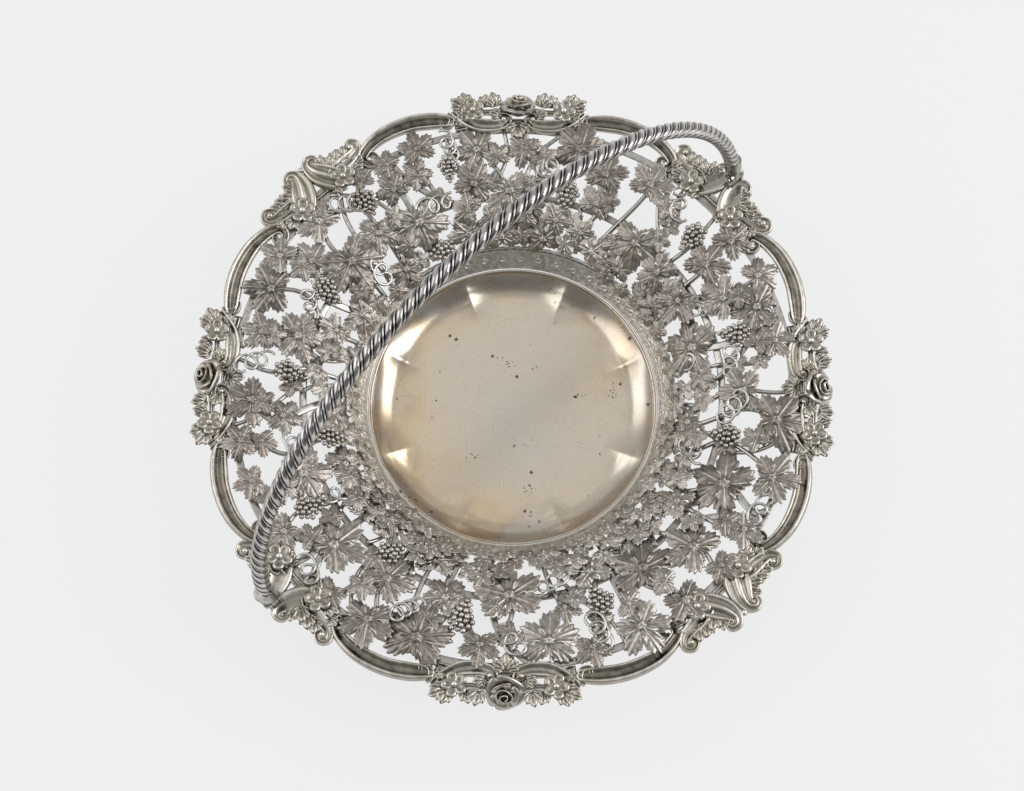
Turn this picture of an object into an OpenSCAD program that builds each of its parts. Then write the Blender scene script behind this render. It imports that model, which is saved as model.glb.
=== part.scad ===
// Silver cake basket. A plain lobed dish stands on a low foot. A stamped band rises from its lip
// to an openwork wall of vine stems with leaves, grapes and tendrils, and a rim of scrolls, roses
// and shells closes the wall. A rope-twist bail swings on two radial pins.
// Units are mm, +Z is up, the table is Z = 0 and the axis of the dish is X = Y = 0.

/* [Dish] */
// Radius of the dish at its lip
dish_r = 68.5; // [64:0.5:72]
// Depth from the lip to the underside of the floor
dish_depth = 10; // [8:0.5:12]
// Width of the curved side
dish_curve = 12.5; // [10:0.5:15]
// Thickness of the sheet
sheet_t = 1; // [0.8:0.1:1.4]

/* [Foot] */
// Height of the foot under the dish
foot_h = 12; // [10:0.5:15]
// Radius of the foot at the table
foot_r = 46; // [42:0.5:49]
// Spread of the foot from top to table
foot_flare = 6; // [4:0.5:8]
// Thickness of the foot collar
foot_t = 1.2; // [1:0.1:1.6]
// Width of the flat rim under the collar
foot_rim_w = 3.2; // [2.8:0.1:4]

/* [Border band] */
// Radial run of the stamped band
band_run = 6.5; // [5.5:0.1:7.5]
// Rise of the stamped band
band_rise = 7.5; // [6.5:0.1:8.5]
// Thickness of the stamped band
band_t = 1; // [0.8:0.1:1.3]
// Radius of the wire along the top of the band
band_wire_r = 1.1; // [0.9:0.1:1.3]

/* [Openwork wall] */
// Height the wall would reach far from the dish
wall_rise = 28.5; // [25:0.5:32]
// Distance over which the wall bends to the flat
wall_turn = 25; // [22:0.5:28]
// Radius of the strap ring half way up
mid_ring_r = 96; // [92:0.5:100]
// Radius of the strap ring at the top
top_ring_r = 127.5; // [125:0.5:130]
// Width of the strap rings
strap_w = 3.4; // [2.8:0.1:4]
// Thickness of the strap rings
strap_t = 1.2; // [1:0.1:1.5]
// Radius of the vine stems
stem_r = 1.1; // [0.9:0.05:1.2]

/* [Vine] */
// Size of the leaves against the listed sizes
leaf_scale = 1; // [0.8:0.05:1.2]
// Thickness of the leaves
leaf_t = 0.8; // [0.6:0.1:1]
// Half thickness of a grape bunch against its length
bunch_plump = 0.5; // [0.4:0.05:0.6]
// Radius of the tendril wire
tendril_wire_r = 0.55; // [0.45:0.05:0.65]
// Turns of a tendril where it has room
tendril_turns = 1.75; // [1.25:0.25:2]
// Height of the leaves over the middle of the stems
vine_lift = 1.8; // [1.7:0.1:2.2]
// Room between a leaf and the leaf that grows over it
leaf_room = 1.3; // [1:0.1:1.8]

/* [Rim] */
// Width of the rails of the mounts
rail_w = 4.5; // [3.5:0.1:5.5]
// Thickness of the rim pieces
rim_t = 3.4; // [3:0.1:3.6]
// Reach of the arches past the top ring
arch_reach = 12.5; // [11:0.5:14]
// Width of the arches
arch_w = 4.5; // [3.5:0.1:5]
// Half angle of a rose mount
rose_angle = 13.3; // [12:0.1:13.5]
// Half angle of a shell mount
shell_angle = 11.2; // [10:0.1:11.5]
// Radius of the roses
rose_r = 5.4; // [4.5:0.1:6]
// Radius of the flowers beside the roses
flower_r = 4.4; // [3.8:0.1:4.8]
// Radius of the volutes
volute_r = 3.4; // [2.8:0.1:3.8]

/* [Handle] */
// Distance of the hinges outside the top ring
hinge_out = 16; // [14:0.5:18]
// Height of the bail over its hinge pins
handle_h = 112; // [100:1:120]
// Lean of the bail as stored
handle_lean = 12; // [0:1:30]
// Radius of the rope twist
rope_r = 3.6; // [3.2:0.1:4]
// Length of one full turn of a strand
rope_pitch = 17.5; // [16:0.5:20]
// Radius of the hinge pins
pin_r = 1.2; // [1:0.05:1.4]
// Radius of the eyes at the ends of the bail
eye_r = 3.4; // [3.1:0.1:3.7]
// Thickness of the eyes
eye_t = 3.2; // [2.8:0.1:3.6]
// Thickness of the hinge ears
ear_t = 1.6; // [1.3:0.1:2]

/* [Fits] */
// Radial running clearance of the eyes on their pins
pin_fit = 0.05; // [0.02:0.01:0.09]
// Radial clearance of a pin in its ears
pin_seat = 0.02; // [0.01:0.01:0.04]
// Gap between soldered pieces
seat_gap = 0.2; // [0.1:0.05:0.3]
// Gap beside moving or neighbouring pieces
side_gap = 0.3; // [0.2:0.05:0.4]

/* [Hidden] */
$fn = 48;

silver = [0.78, 0.76, 0.73];
grey = [0.62, 0.60, 0.58];
mauve = [0.55, 0.53, 0.53];

// Levels and radii that follow from the sizes above
floor_r = dish_r - dish_curve;
lip_z = foot_h + dish_depth;
band_foot_r = dish_r + seat_gap;
band_top_r = band_foot_r + band_run;
band_top_z = lip_z + band_rise;
band_slope = atan(band_rise / band_run);
wire_mid_r = band_top_r + (band_wire_r + seat_gap) * cos(band_slope);
wire_mid_z = band_top_z + (band_wire_r + seat_gap) * sin(band_slope);
stem_in_r = wire_mid_r + band_wire_r + stem_r;
strap_lift = -stem_r - seat_gap - strap_t;
rail_in_r = top_ring_r + strap_w / 2 + side_gap;
rail_out_r = rail_in_r + rail_w;
rim_drop = rim_t - 1;
foot_rim_h = 2.4;

// Height and slope of the wall at a radius
function wall_z(r) = band_top_z + wall_rise * (1 - exp(-(r - band_top_r) / wall_turn));
function wall_slope(r) = atan(wall_rise / wall_turn * exp(-(r - band_top_r) / wall_turn));

// The hinge stands on the plates of two shell mounts
hinge_r = top_ring_r + hinge_out;
bracket_reach = eye_t / 2 + side_gap + ear_t;
bracket_t = 1.2;
plate_slope = wall_slope(rail_out_r);
plate_reach = (hinge_r + bracket_reach - rail_out_r) / cos(plate_slope) + bracket_t;
bracket_z = wall_z(rail_out_r) + tan(plate_slope) * (hinge_r + bracket_reach - rail_out_r)
    + (rim_t - rim_drop) / cos(plate_slope) + seat_gap;
hinge_z = bracket_z + bracket_t + eye_r + side_gap;
head_r = pin_r + 0.9;
head_t = 0.9;
ferrule_r = rope_r + 0.3;
ferrule_low = eye_r + 1.4;
ferrule_h = 7;
ferrule_top = ferrule_low + ferrule_h;

// Puts a piece on the wall: X points away from the axis, Y along the rim, Z into the basket
module on_wall(bearing, r, lift = 0) {
    rotate([0, 0, bearing]) translate([r, 0, wall_z(r)]) rotate([0, -wall_slope(r), 0])
        translate([0, 0, lift]) children();
}

// The vine, branch by branch round the basket. Each branch is a stem from the band to the top ring.
// It carries leaves (L), grape bunches (G) and tendrils (T), listed as
// [bearing in degrees, distance from the axis, half size, turn, kind].
L = 0;
G = 1;
T = 2;
BRANCHES = [
    [[11, 82, 6, 0, T], [4, 90, 7, 200, L], [8, 102, 6.5, 0, T], [7, 114, 5, -60, L],
        [10.5, 122, 8.5, 0, L]],
    [[15, 88, 14, 150, L], [14.5, 106, 8, 160, G], [19, 119, 12, 170, L]],
    [[30, 81, 6, 30, L], [30, 91, 11, 200, L], [24.5, 97, 6, 0, T], [24, 107, 10.5, 120, L],
        [25.5, 125, 9, 0, L]],
    [[34, 108, 11, 20, L], [35, 123, 9.5, 10, L]],
    [[40, 81, 8, -20, L], [41, 91, 10, 90, L], [41.5, 111, 8, 180, G]],
    [[52, 81, 7, 10, L], [52, 94, 13, 200, L], [48, 108, 6, -30, L], [50, 119, 7, 0, T]],
    [[63, 82, 9.5, -30, L], [57.5, 118, 10.5, 0, L]],
    [[68.5, 87, 7, 40, L], [67.5, 100, 9, -10, L], [68, 113, 10.5, 0, L]],
    [[80.5, 81, 10, 20, L], [77.5, 89, 8, -30, L], [76, 99, 8, 180, G], [75.5, 121, 13, 60, L]],
    [[85, 92, 6, 0, L], [83.5, 108, 7, 0, T], [88.5, 118, 9, 170, L]],
    [[95, 81, 9, 0, L], [92, 99, 12, 190, L], [99.5, 118, 11, 30, L]],
    [[106, 84, 10, 160, L], [104.5, 93, 8, 60, L], [101.5, 103, 10.5, -30, L],
        [107, 112, 7, 170, G], [105.5, 121, 6, 0, T]],
    [[117, 81, 8, 90, G], [112.5, 99, 7, 0, T], [115, 114, 7.5, -40, L], [112.5, 125, 9, 0, L]],
    [[119.5, 95, 14, 180, L], [121.5, 112, 8.5, 20, L], [120, 124, 7, 40, L]],
    [[130.5, 82, 10, 190, L], [131, 100, 10.5, 150, L], [129, 114, 7.5, 180, G],
        [126.5, 123, 6, 0, L]],
    [[137.5, 89, 7, 0, T], [133, 119, 7.5, 0, T]],
    [[142, 99, 15, 170, L], [140, 121, 11, 10, L]],
    [[152.5, 83, 11, 200, L], [153, 99, 8, 170, G], [148.5, 112, 9.5, -20, L], [151.5, 125, 9, 0, L]],
    [[161.5, 89, 8.5, 60, L], [157.5, 104, 6.5, 0, T], [159, 121, 12, 20, L]],
    [[167.5, 103, 12.5, 190, L], [169, 118, 9, 0, L]],
    [[175.5, 92, 7.5, 30, L], [177.5, 103, 8, 180, G], [176, 119, 7, 0, T]],
    [[184.5, 82.5, 7, 10, L], [189, 106, 8.5, 160, L], [185, 118.5, 11.5, 30, L]],
    [[196, 87.5, 8, 170, G], [198, 103.5, 6.5, 0, T], [194.5, 116.5, 7, 90, L], [194, 125, 8.5, 0, L]],
    [[205.5, 85.5, 10, 190, L], [205, 103.5, 12.5, 170, L], [207, 119.5, 7, 60, L], [203, 125, 8, 0, L]],
    [[213.5, 93, 7, 0, T], [213.5, 107, 8, 180, G], [215.5, 122, 9.5, 10, L]],
    [[222, 87.5, 10, 200, L], [224.5, 109, 14, 180, L], [226, 124.5, 6.5, 0, T]],
    [[232, 85.5, 9, 30, L], [236, 94.5, 8, 160, G], [231.5, 124.5, 8, 0, L]],
    [[239.5, 105.5, 12, 170, L], [241, 124.5, 12, 20, L]],
    [[248, 88, 10, 190, L], [247, 113, 6.5, 0, T], [251.5, 123, 15, 180, L]],
    [[254.5, 102.5, 11, 160, L], [259.5, 108.5, 8.5, 175, G], [264.5, 119.5, 9, 0, L]],
    [[270.5, 97.5, 15, 190, L], [271, 117.5, 7, 0, T]],
    [[281, 93.5, 7, 0, T], [284, 104.5, 7, 60, L], [279, 118.5, 13, 170, L]],
    [[293.5, 93, 10, 180, L], [292.5, 106, 8, 190, G], [290, 119, 7, 0, T], [287.5, 124.5, 8.5, 0, L]],
    [[300, 89, 7, 0, L], [298, 113, 7, 60, L], [298, 124.5, 12, 10, L]],
    [[306, 87.5, 6.5, 20, L], [305.5, 103.5, 15, 150, L], [308.5, 124.5, 10, 0, L]],
    [[315, 90, 6, 0, L], [318, 110.5, 13, 190, L], [318.5, 124.5, 7.5, 0, L]],
    [[322, 84.5, 8, -20, L], [325.5, 93, 9, 180, L], [327.5, 123, 8.5, 0, L]],
    [[335, 106.5, 15, 170, L], [333, 124.5, 6.5, 0, T]],
    [[342, 87.5, 6.5, 0, T], [347.5, 100, 8, 180, G], [340, 124, 11.5, 10, L]],
    [[351, 84, 10, 200, L], [355, 101.5, 7, 0, T], [352.5, 120.5, 14, 0, L]],
    [[358, 88, 6, 0, L], [359.5, 106, 11, 180, L]]
];

// The list is drawn for a wall between two radii, and follows the wall when its sizes change
PLAN = [78.25, 127.5];
wall_grow = (top_ring_r - stem_in_r) / (PLAN[1] - PLAN[0]);
function placed(item) = [item[0], stem_in_r + (item[1] - PLAN[0]) * wall_grow,
    item[2] * max(1, wall_grow), item[3], item[4]];

// Every second leaf of the outer wall grows over its neighbours, except near the four diagonals
function grows_over(i, j) = let (item = placed(BRANCHES[i][j]))
    item[4] == L && (i + j) % 2 == 1 && item[1] > mid_ring_r && cos(4 * item[0]) > -0.6 ? 1 : 0;
ITEMS = [for (i = [0 : len(BRANCHES) - 1]) for (j = [0 : len(BRANCHES[i]) - 1])
    concat(placed(BRANCHES[i][j]), [grows_over(i, j)])];

// An item gives way to its neighbours, to the roses outside it and to the dish inside it. A leaf under
// another one leaves room for its peg.
peg_r = 1;
function apart(a, b) = sqrt(a[1] * a[1] + b[1] * b[1] - 2 * a[1] * b[1] * cos(a[0] - b[0]));
function wish(a) = a[4] == L ? a[2] * leaf_scale : a[2];
function two_leaves(a, b) = a[4] == L && b[4] == L && a[5] != b[5];
function fitted(a) = min(concat([wish(a), rail_out_r - a[1], a[1] - dish_r - 2],
    [for (b = ITEMS) if (b != a && abs(a[1] - b[1]) < mid_ring_r / 3)
        !two_leaves(a, b) ? (apart(a, b) - side_gap) * wish(a) / (wish(a) + wish(b))
        : a[5] == 0 ? apart(a, b) - peg_r - side_gap : wish(a)]));

// The five-lobed outline of a vine leaf, with its tip along X and its stalk notch behind
function leaf_reach(a) = abs(a) < 155
    ? 0.64 + 0.34 * (0.5 + 0.5 * cos(a * 360 / 62)) * (1 - abs(a) / 900)
    : 0.64 - 0.36 * (abs(a) - 155) / 25;
function leaf_outline(size) = [for (a = [-180 : 10 : 170])
    size * leaf_reach(a) * [cos(a), sin(a)]];

// A tube of rings: each ring is a list of points in order round the tube
function tube_faces(n, sides) = concat(
    [[for (j = [0 : sides - 1]) j]],
    [[for (j = [sides - 1 : -1 : 0]) (n - 1) * sides + j]],
    [for (i = [0 : n - 2]) for (j = [0 : sides - 1]) each [
        [i * sides + j, (i + 1) * sides + j, i * sides + (j + 1) % sides],
        [i * sides + (j + 1) % sides, (i + 1) * sides + j, (i + 1) * sides + (j + 1) % sides]]]);

function unit(v) = v / norm(v);
function spline(a, b, c, d, t) = 0.5 * (2 * b + (c - a) * t
    + (2 * a - 5 * b + 4 * c - d) * t * t + (3 * b - a - 3 * c + d) * t * t * t);
function wall_point(q) = [q[1] * cos(q[0]), q[1] * sin(q[0]), wall_z(q[1])];
function wall_normal(q) = [-cos(q[0]) * sin(wall_slope(q[1])), -sin(q[0]) * sin(wall_slope(q[1])),
    cos(wall_slope(q[1]))];

// Where a stem runs, as [bearing, radius] steps from the band to the top ring
function stem_knots(branch) = concat([[branch[0][0], stem_in_r]],
    [for (item = branch) [item[0], placed(item)[1]]],
    [[branch[len(branch) - 1][0], top_ring_r]]);
function stem_path(k) = concat([for (i = [0 : len(k) - 2]) for (t = [0, 1 / 3, 2 / 3])
    spline(k[max(i - 1, 0)], k[i], k[i + 1], k[min(i + 2, len(k) - 1)], t)], [k[len(k) - 1]]);

module stem(branch) {
    path = stem_path(stem_knots(branch));
    n = len(path);
    points = [for (i = [0 : n - 1])
        let (here = wall_point(path[i]), up = wall_normal(path[i]),
            ahead = unit(wall_point(path[min(i + 1, n - 1)]) - wall_point(path[max(i - 1, 0)])),
            side = unit(cross(ahead, up)), over = cross(side, ahead))
        for (a = [18 : 72 : 306]) here + stem_r * (cos(a) * side + sin(a) * over)];
    polyhedron(points, tube_faces(n, 5));
}

// The peg that joins an item to its stem
peg_low = stem_r + seat_gap / 2;

module leaf(item) {
    lift = vine_lift + item[5] * (leaf_t + leaf_room);
    on_wall(item[0], item[1], lift) rotate([0, 0, item[3]]) {
        linear_extrude(leaf_t) polygon(leaf_outline(fitted(item)));
        translate([0, 0, peg_low - lift]) cylinder(h = lift - peg_low + leaf_t / 2, r = peg_r);
    }
}

module bunch(item) {
    size = fitted(item);
    w = min(item[2] * bunch_plump, size * 0.8);
    on_wall(item[0], item[1], vine_lift) rotate([0, 0, item[3]]) {
        difference() {
            rotate([0, 90, 0]) rotate_extrude() polygon([[0, -size], [0.6 * w, -0.9 * size],
                [0.85 * w, -0.7 * size], [0.75 * w, -0.5 * size], [w, -0.25 * size],
                [0.8 * w, -0.05 * size], [0.85 * w, 0.15 * size], [0.6 * w, 0.35 * size],
                [0.6 * w, 0.55 * size], [0.35 * w, 0.75 * size], [0.3 * w, 0.9 * size], [0, size]]);
            translate([-2 * size, -2 * size, -2 * size]) cube([4 * size, 4 * size, 2 * size]);
        }
        translate([0, 0, peg_low - vine_lift]) cylinder(h = vine_lift - peg_low + w / 2, r = peg_r);
    }
}

// A tendril starts on its stem and winds outward, with room between its loops
tendril_in = 0.9;
loop_room = 2 * tendril_wire_r + 0.6;
function tendril_span(item) = fitted(item) - tendril_wire_r - tendril_in;
function tendril_loops(item) = min(tendril_turns, tendril_span(item) / loop_room);
tendril_gap = min([for (item = ITEMS) if (item[4] == T)
    tendril_span(item) / tendril_loops(item)]) - 2 * tendril_wire_r;
echo(least_gap_between_tendril_loops = tendril_gap, hinge_z = hinge_z,
    plate_reach = plate_reach, bracket_z = bracket_z);

module tendril(item) {
    loops = tendril_loops(item);
    n = ceil(loops * 12) + 1;
    points = [for (i = [0 : n - 1])
        let (t = i / (n - 1), a = t * loops * 360 + item[3],
            r = tendril_in + tendril_span(item) * t, z = tendril_wire_r + 0.9 * t)
        for (b = [0 : 60 : 300])
            [(r + tendril_wire_r * cos(b)) * cos(a), (r + tendril_wire_r * cos(b)) * sin(a),
                z + tendril_wire_r * sin(b)]];
    on_wall(item[0], item[1], peg_low) polyhedron(points, tube_faces(n, 6));
}

module dish() {
    color(silver) rotate_extrude() polygon(concat(
        [[0, foot_h]],
        [for (a = [0 : 15 : 90]) [floor_r + dish_curve * sin(a), foot_h + dish_depth * (1 - cos(a))]],
        [for (a = [90 : -15 : 0]) [floor_r + (dish_curve - sheet_t) * sin(a),
            foot_h + sheet_t + (dish_depth - sheet_t) * (1 - cos(a))]],
        [[0, foot_h + sheet_t]]));
}

module foot_collar() {
    top_r = foot_r - foot_flare;
    low_z = foot_rim_h + seat_gap;
    rise = foot_h - seat_gap - low_z;
    color(silver) rotate_extrude() polygon(concat(
        [for (t = [0 : 0.2 : 1]) [foot_r - foot_flare * sin(90 * t), low_z + rise * t]],
        [for (t = [1 : -0.2 : 0]) [foot_r - foot_flare * sin(90 * t) - foot_t, low_z + rise * t]]));
}

module foot_rim() {
    half = foot_rim_w / 2;
    color(silver) rotate_extrude() polygon([[foot_r - half, 0], [foot_r + half, 0],
        [foot_r + half, foot_rim_h * 0.6], [foot_r + half * 0.6, foot_rim_h],
        [foot_r - half, foot_rim_h]]);
}

module border_band() {
    out = band_t * [sin(band_slope), -cos(band_slope)];
    low = [band_foot_r, lip_z];
    high = [band_top_r, band_top_z];
    color(grey) rotate_extrude() polygon([low, low + out, high + out, high]);
}

module band_wire() {
    color(silver) rotate_extrude() translate([wire_mid_r, wire_mid_z]) circle(band_wire_r);
}

module strap_ring(r) {
    color(grey) rotate_extrude() translate([r, wall_z(r)]) rotate(wall_slope(r))
        translate([-strap_w / 2, strap_lift]) square([strap_w, strap_t]);
}

module mid_ring() strap_ring(mid_ring_r);
module top_ring() strap_ring(top_ring_r);

module stems(sector) {
    color(grey) for (branch = BRANCHES)
        if (floor(branch[0][0] / 45) == sector - 1) stem(branch);
}

module leaves(sector) {
    color(mauve) for (item = ITEMS)
        if (item[4] == L && floor(item[0] / 45) == sector - 1) leaf(item);
}

module grapes(quarter) {
    color(mauve) for (item = ITEMS)
        if (item[4] == G && floor(item[0] / 90) == quarter - 1) bunch(item);
}

module tendrils(quarter) {
    color(silver) for (item = ITEMS)
        if (item[4] == T && floor(item[0] / 90) == quarter - 1) tendril(item);
}

// The rail of a mount is a piece of a ring outside the top strap
module rail(half) {
    rotate([0, 0, -half]) rotate_extrude(angle = 2 * half) translate([rail_in_r, wall_z(rail_in_r)])
        rotate(wall_slope(rail_in_r)) translate([0, -rim_drop]) square([rail_w, rim_t]);
}

// An arch is cut where it meets the top strap
arch_mid = (rose_angle + 45 - shell_angle) / 2;
arch_half = arch_mid - rose_angle;
arch_span = rail_in_r * sin(arch_half) - 4 * side_gap;
arch_r = (arch_span * arch_span + arch_reach * arch_reach) / (2 * arch_reach);

module rim_scroll(n) {
    flip = n % 2 == 1 ? 1 : -1;
    bearing = n % 2 == 1 ? 45 * (n - 1) + arch_mid : 45 * n - arch_mid;
    color(grey) difference() {
        on_wall(bearing, rail_in_r, -rim_drop) {
            translate([arch_reach - arch_r, 0, 0]) rotate([0, 0, -70]) rotate_extrude(angle = 140)
                polygon([[arch_r - arch_w, 0], [arch_r, 0], [arch_r, rim_t * 0.7],
                    [arch_r - arch_w * 0.15, rim_t], [arch_r - arch_w * 0.5, rim_t * 0.75],
                    [arch_r - arch_w * 0.85, rim_t], [arch_r - arch_w, rim_t * 0.7]]);
            translate([volute_r * 0.8, flip * (arch_span - arch_w - volute_r * 0.6), 0])
                cylinder(h = rim_t * 0.9, r = volute_r);
        }
        cylinder(h = 2 * band_top_z + 2 * wall_rise, r = rail_in_r);
    }
}

module flower(r) {
    linear_extrude(rim_t + 0.6) polygon([for (a = [0 : 12 : 348])
        r * (0.82 + 0.18 * cos(5 * a)) * [cos(a), sin(a)]]);
    translate([0, 0, rim_t]) sphere(r * 0.35);
}

module rose_mount(n) {
    rose_at = rail_out_r + rose_r * 1.2;
    flower_at = rail_out_r + flower_r * 0.72;
    color(grey) rotate([0, 0, 90 * (n - 1)]) {
        rail(rose_angle);
        on_wall(0, rail_out_r, -rim_drop) linear_extrude(rim_t * 0.94) polygon(rose_r * [[-0.2, -2],
            [0.75, -1.65], [1.2, -0.75], [1.2, 0.75], [0.75, 1.65], [-0.2, 2]]);
        on_wall(0, rose_at, -rim_drop) rotate_extrude() polygon([[0, 0], [rose_r, 0],
            [rose_r, rim_t * 0.7], [rose_r * 0.8, rim_t + 0.8], [rose_r * 0.62, rim_t + 0.6],
            [rose_r * 0.5, rim_t + 2], [rose_r * 0.2, rim_t + 3], [0, rim_t + 3]]);
        for (s = [-1, 1]) {
            on_wall(s * rose_angle * 0.48, flower_at, -rim_drop) flower(flower_r);
            on_wall(s * rose_angle * 0.82, rail_out_r + flower_r / 3, -rim_drop * 0.9) rotate([0, 0, s * 25])
                linear_extrude(rim_t * 0.85) polygon(flower_r * [[-0.7, -0.57], [0, -0.77],
                    [0.7, -0.55], [1.36, 0], [0.7, 0.55], [0, 0.77], [-0.7, 0.57]]);
        }
    }
}

module shell_mount(n) {
    color(grey) rotate([0, 0, 90 * (n - 1) + 45]) {
        rail(shell_angle);
        on_wall(0, rail_out_r, -rim_drop) linear_extrude(rim_t) polygon(plate_reach * [[-0.07, -0.56],
            [0.35, -0.66], [0.6, -0.49], [0.8, -0.53], [0.83, -0.28], [1, -0.21], [0.9, 0], [1, 0.21],
            [0.83, 0.28], [0.8, 0.53], [0.6, 0.49], [0.35, 0.66], [-0.07, 0.56]]);
        for (s = [-1, 1]) {
            on_wall(s * shell_angle * 0.6, rail_out_r + volute_r * 0.75, -rim_drop)
                cylinder(h = rim_t + 0.6, r = volute_r);
            on_wall(s * shell_angle * 0.86, rail_out_r + volute_r * 0.4, -rim_drop)
                cylinder(h = rim_t + 0.3, r = volute_r * 0.7);
        }
    }
}

// The hinge frame: X runs out along the pins, Z along the bail
module at_hinge(n) {
    rotate([0, 0, 45 + 180 * (n - 1)]) translate([hinge_r, 0, 0]) children();
}

module along_pin(from, to, r) {
    translate([from, 0, hinge_z]) rotate([0, 90, 0]) cylinder(h = to - from, r = r);
}

module hinge_bracket(n) {
    color(silver) at_hinge(n) difference() {
        union() {
            translate([-bracket_reach, -eye_r, bracket_z]) cube([2 * bracket_reach, 2 * eye_r, bracket_t]);
            for (s = [-bracket_reach, bracket_reach - ear_t]) {
                translate([s, -eye_r, bracket_z + bracket_t / 2])
                    cube([ear_t, 2 * eye_r, hinge_z - bracket_z - bracket_t / 2]);
                along_pin(s, s + ear_t, eye_r);
            }
        }
        along_pin(-bracket_reach - 1, bracket_reach + 1, pin_r + pin_seat);
    }
}

module hinge_pin(n) {
    out = bracket_reach + seat_gap / 2;
    color(silver) at_hinge(n) {
        along_pin(-out - head_t, out + head_t, pin_r);
        along_pin(-out - head_t, -out, head_r);
        along_pin(out, out + head_t, head_r);
    }
}

// The bail leans over its hinge line, which runs from corner to corner of the basket
module bail_frame() {
    rotate([0, 0, 45]) translate([0, 0, hinge_z]) rotate([-handle_lean, 0, 0]) children();
}

module handle_eye(n) {
    color(silver) bail_frame() rotate([0, 0, 180 * (n - 1)]) translate([hinge_r, 0, 0]) {
        difference() {
            union() {
                translate([-eye_t / 2, 0, 0]) rotate([0, 90, 0]) cylinder(h = eye_t, r = eye_r);
                translate([-eye_t / 2, -eye_r * 0.8, 0]) cube([eye_t, eye_r * 1.6, ferrule_low + 1]);
            }
            translate([-eye_t, 0, 0]) rotate([0, 90, 0]) cylinder(h = 2 * eye_t, r = pin_r + pin_fit);
        }
        translate([0, 0, ferrule_low]) cylinder(h = ferrule_top - ferrule_low, r = ferrule_r);
    }
}

// Three strands laid into a rope, bent to half an ellipse, with its ends cut flat over the ferrules
rope_steps = 184;
rope_from = asin((ferrule_top + seat_gap) / handle_h);
rope_long = PI * sqrt((hinge_r * hinge_r + handle_h * handle_h) / 2);

module handle_rope() {
    points = [for (i = [0 : rope_steps])
        let (t = i / rope_steps, a = rope_from + (180 - 2 * rope_from) * t,
            here = [hinge_r * cos(a), 0, handle_h * sin(a)],
            ahead = i == 0 ? [0, 0, 1] : i == rope_steps ? [0, 0, -1]
                : unit([-hinge_r * sin(a), 0, handle_h * cos(a)]),
            side = [0, 1, 0], over = cross(ahead, side), twist = -360 * t * rope_long / rope_pitch)
        for (b = [0 : 30 : 330])
            here + rope_r * (0.86 + 0.14 * cos(3 * b))
                * (cos(b + twist) * side + sin(b + twist) * over)];
    color(silver) bail_frame() polyhedron(points, tube_faces(rope_steps + 1, 12));
}

dish();
foot_collar();
foot_rim();
border_band();
band_wire();
mid_ring();
top_ring();
stems(1);  // stems_1
stems(2);  // stems_2
stems(3);  // stems_3
stems(4);  // stems_4
stems(5);  // stems_5
stems(6);  // stems_6
stems(7);  // stems_7
stems(8);  // stems_8
leaves(1);  // leaves_1
leaves(2);  // leaves_2
leaves(3);  // leaves_3
leaves(4);  // leaves_4
leaves(5);  // leaves_5
leaves(6);  // leaves_6
leaves(7);  // leaves_7
leaves(8);  // leaves_8
grapes(1);  // grapes_1
grapes(2);  // grapes_2
grapes(3);  // grapes_3
grapes(4);  // grapes_4
tendrils(1);  // tendrils_1
tendrils(2);  // tendrils_2
tendrils(3);  // tendrils_3
tendrils(4);  // tendrils_4
rim_scroll(1);  // rim_scroll_1
rim_scroll(2);  // rim_scroll_2
rim_scroll(3);  // rim_scroll_3
rim_scroll(4);  // rim_scroll_4
rim_scroll(5);  // rim_scroll_5
rim_scroll(6);  // rim_scroll_6
rim_scroll(7);  // rim_scroll_7
rim_scroll(8);  // rim_scroll_8
rose_mount(1);  // rose_mount_1
rose_mount(2);  // rose_mount_2
rose_mount(3);  // rose_mount_3
rose_mount(4);  // rose_mount_4
shell_mount(1);  // shell_mount_1
shell_mount(2);  // shell_mount_2
shell_mount(3);  // shell_mount_3
shell_mount(4);  // shell_mount_4
hinge_bracket(1);  // hinge_bracket_1
hinge_bracket(2);  // hinge_bracket_2
hinge_pin(1);  // hinge_pin_1
hinge_pin(2);  // hinge_pin_2
handle_eye(1);  // handle_eye_1
handle_eye(2);  // handle_eye_2
handle_rope();
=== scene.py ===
# %% [markdown]
# # A silver cake basket
# The basket is a plain lobed dish in a stamped band, an openwork wall of vine stems with leaves,
# grapes and tendrils, a rim of scrolls, roses and shells, and a rope-twist handle on two pins.
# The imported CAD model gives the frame: its bodies, its nodes and its hinge. Each cell below makes one
# kind of piece as a numpy surface, at the place where its CAD node is, and lets it ride on a body.

import bmesh
import bpy
import numpy as np
from mathutils import Matrix, Vector


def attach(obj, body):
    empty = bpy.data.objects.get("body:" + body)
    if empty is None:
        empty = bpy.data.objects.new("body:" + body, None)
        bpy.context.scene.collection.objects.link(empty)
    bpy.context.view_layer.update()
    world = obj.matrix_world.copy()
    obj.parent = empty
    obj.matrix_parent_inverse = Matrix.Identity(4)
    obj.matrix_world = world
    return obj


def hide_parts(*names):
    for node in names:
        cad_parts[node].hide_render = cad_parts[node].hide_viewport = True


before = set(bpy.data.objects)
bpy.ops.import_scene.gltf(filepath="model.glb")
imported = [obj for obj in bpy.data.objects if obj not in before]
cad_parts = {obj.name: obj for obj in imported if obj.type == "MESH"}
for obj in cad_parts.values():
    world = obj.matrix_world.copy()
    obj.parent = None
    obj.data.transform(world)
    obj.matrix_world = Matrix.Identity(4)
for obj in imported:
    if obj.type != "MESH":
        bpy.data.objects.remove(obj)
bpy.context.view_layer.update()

# %% [markdown]
# ## Sizes
# A basket like this grows from a few driving sizes: the radii of its rings, the depth of its dish and the
# rise of its wall. They could be measured on the CAD meshes, but a formula needs them by name, so the ones
# of the CAD source are repeated here. They are in millimetres, as on a maker's bench, and the mesh builder
# turns them to metres. The sizes of a single piece stand in that piece's own cell.

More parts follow.
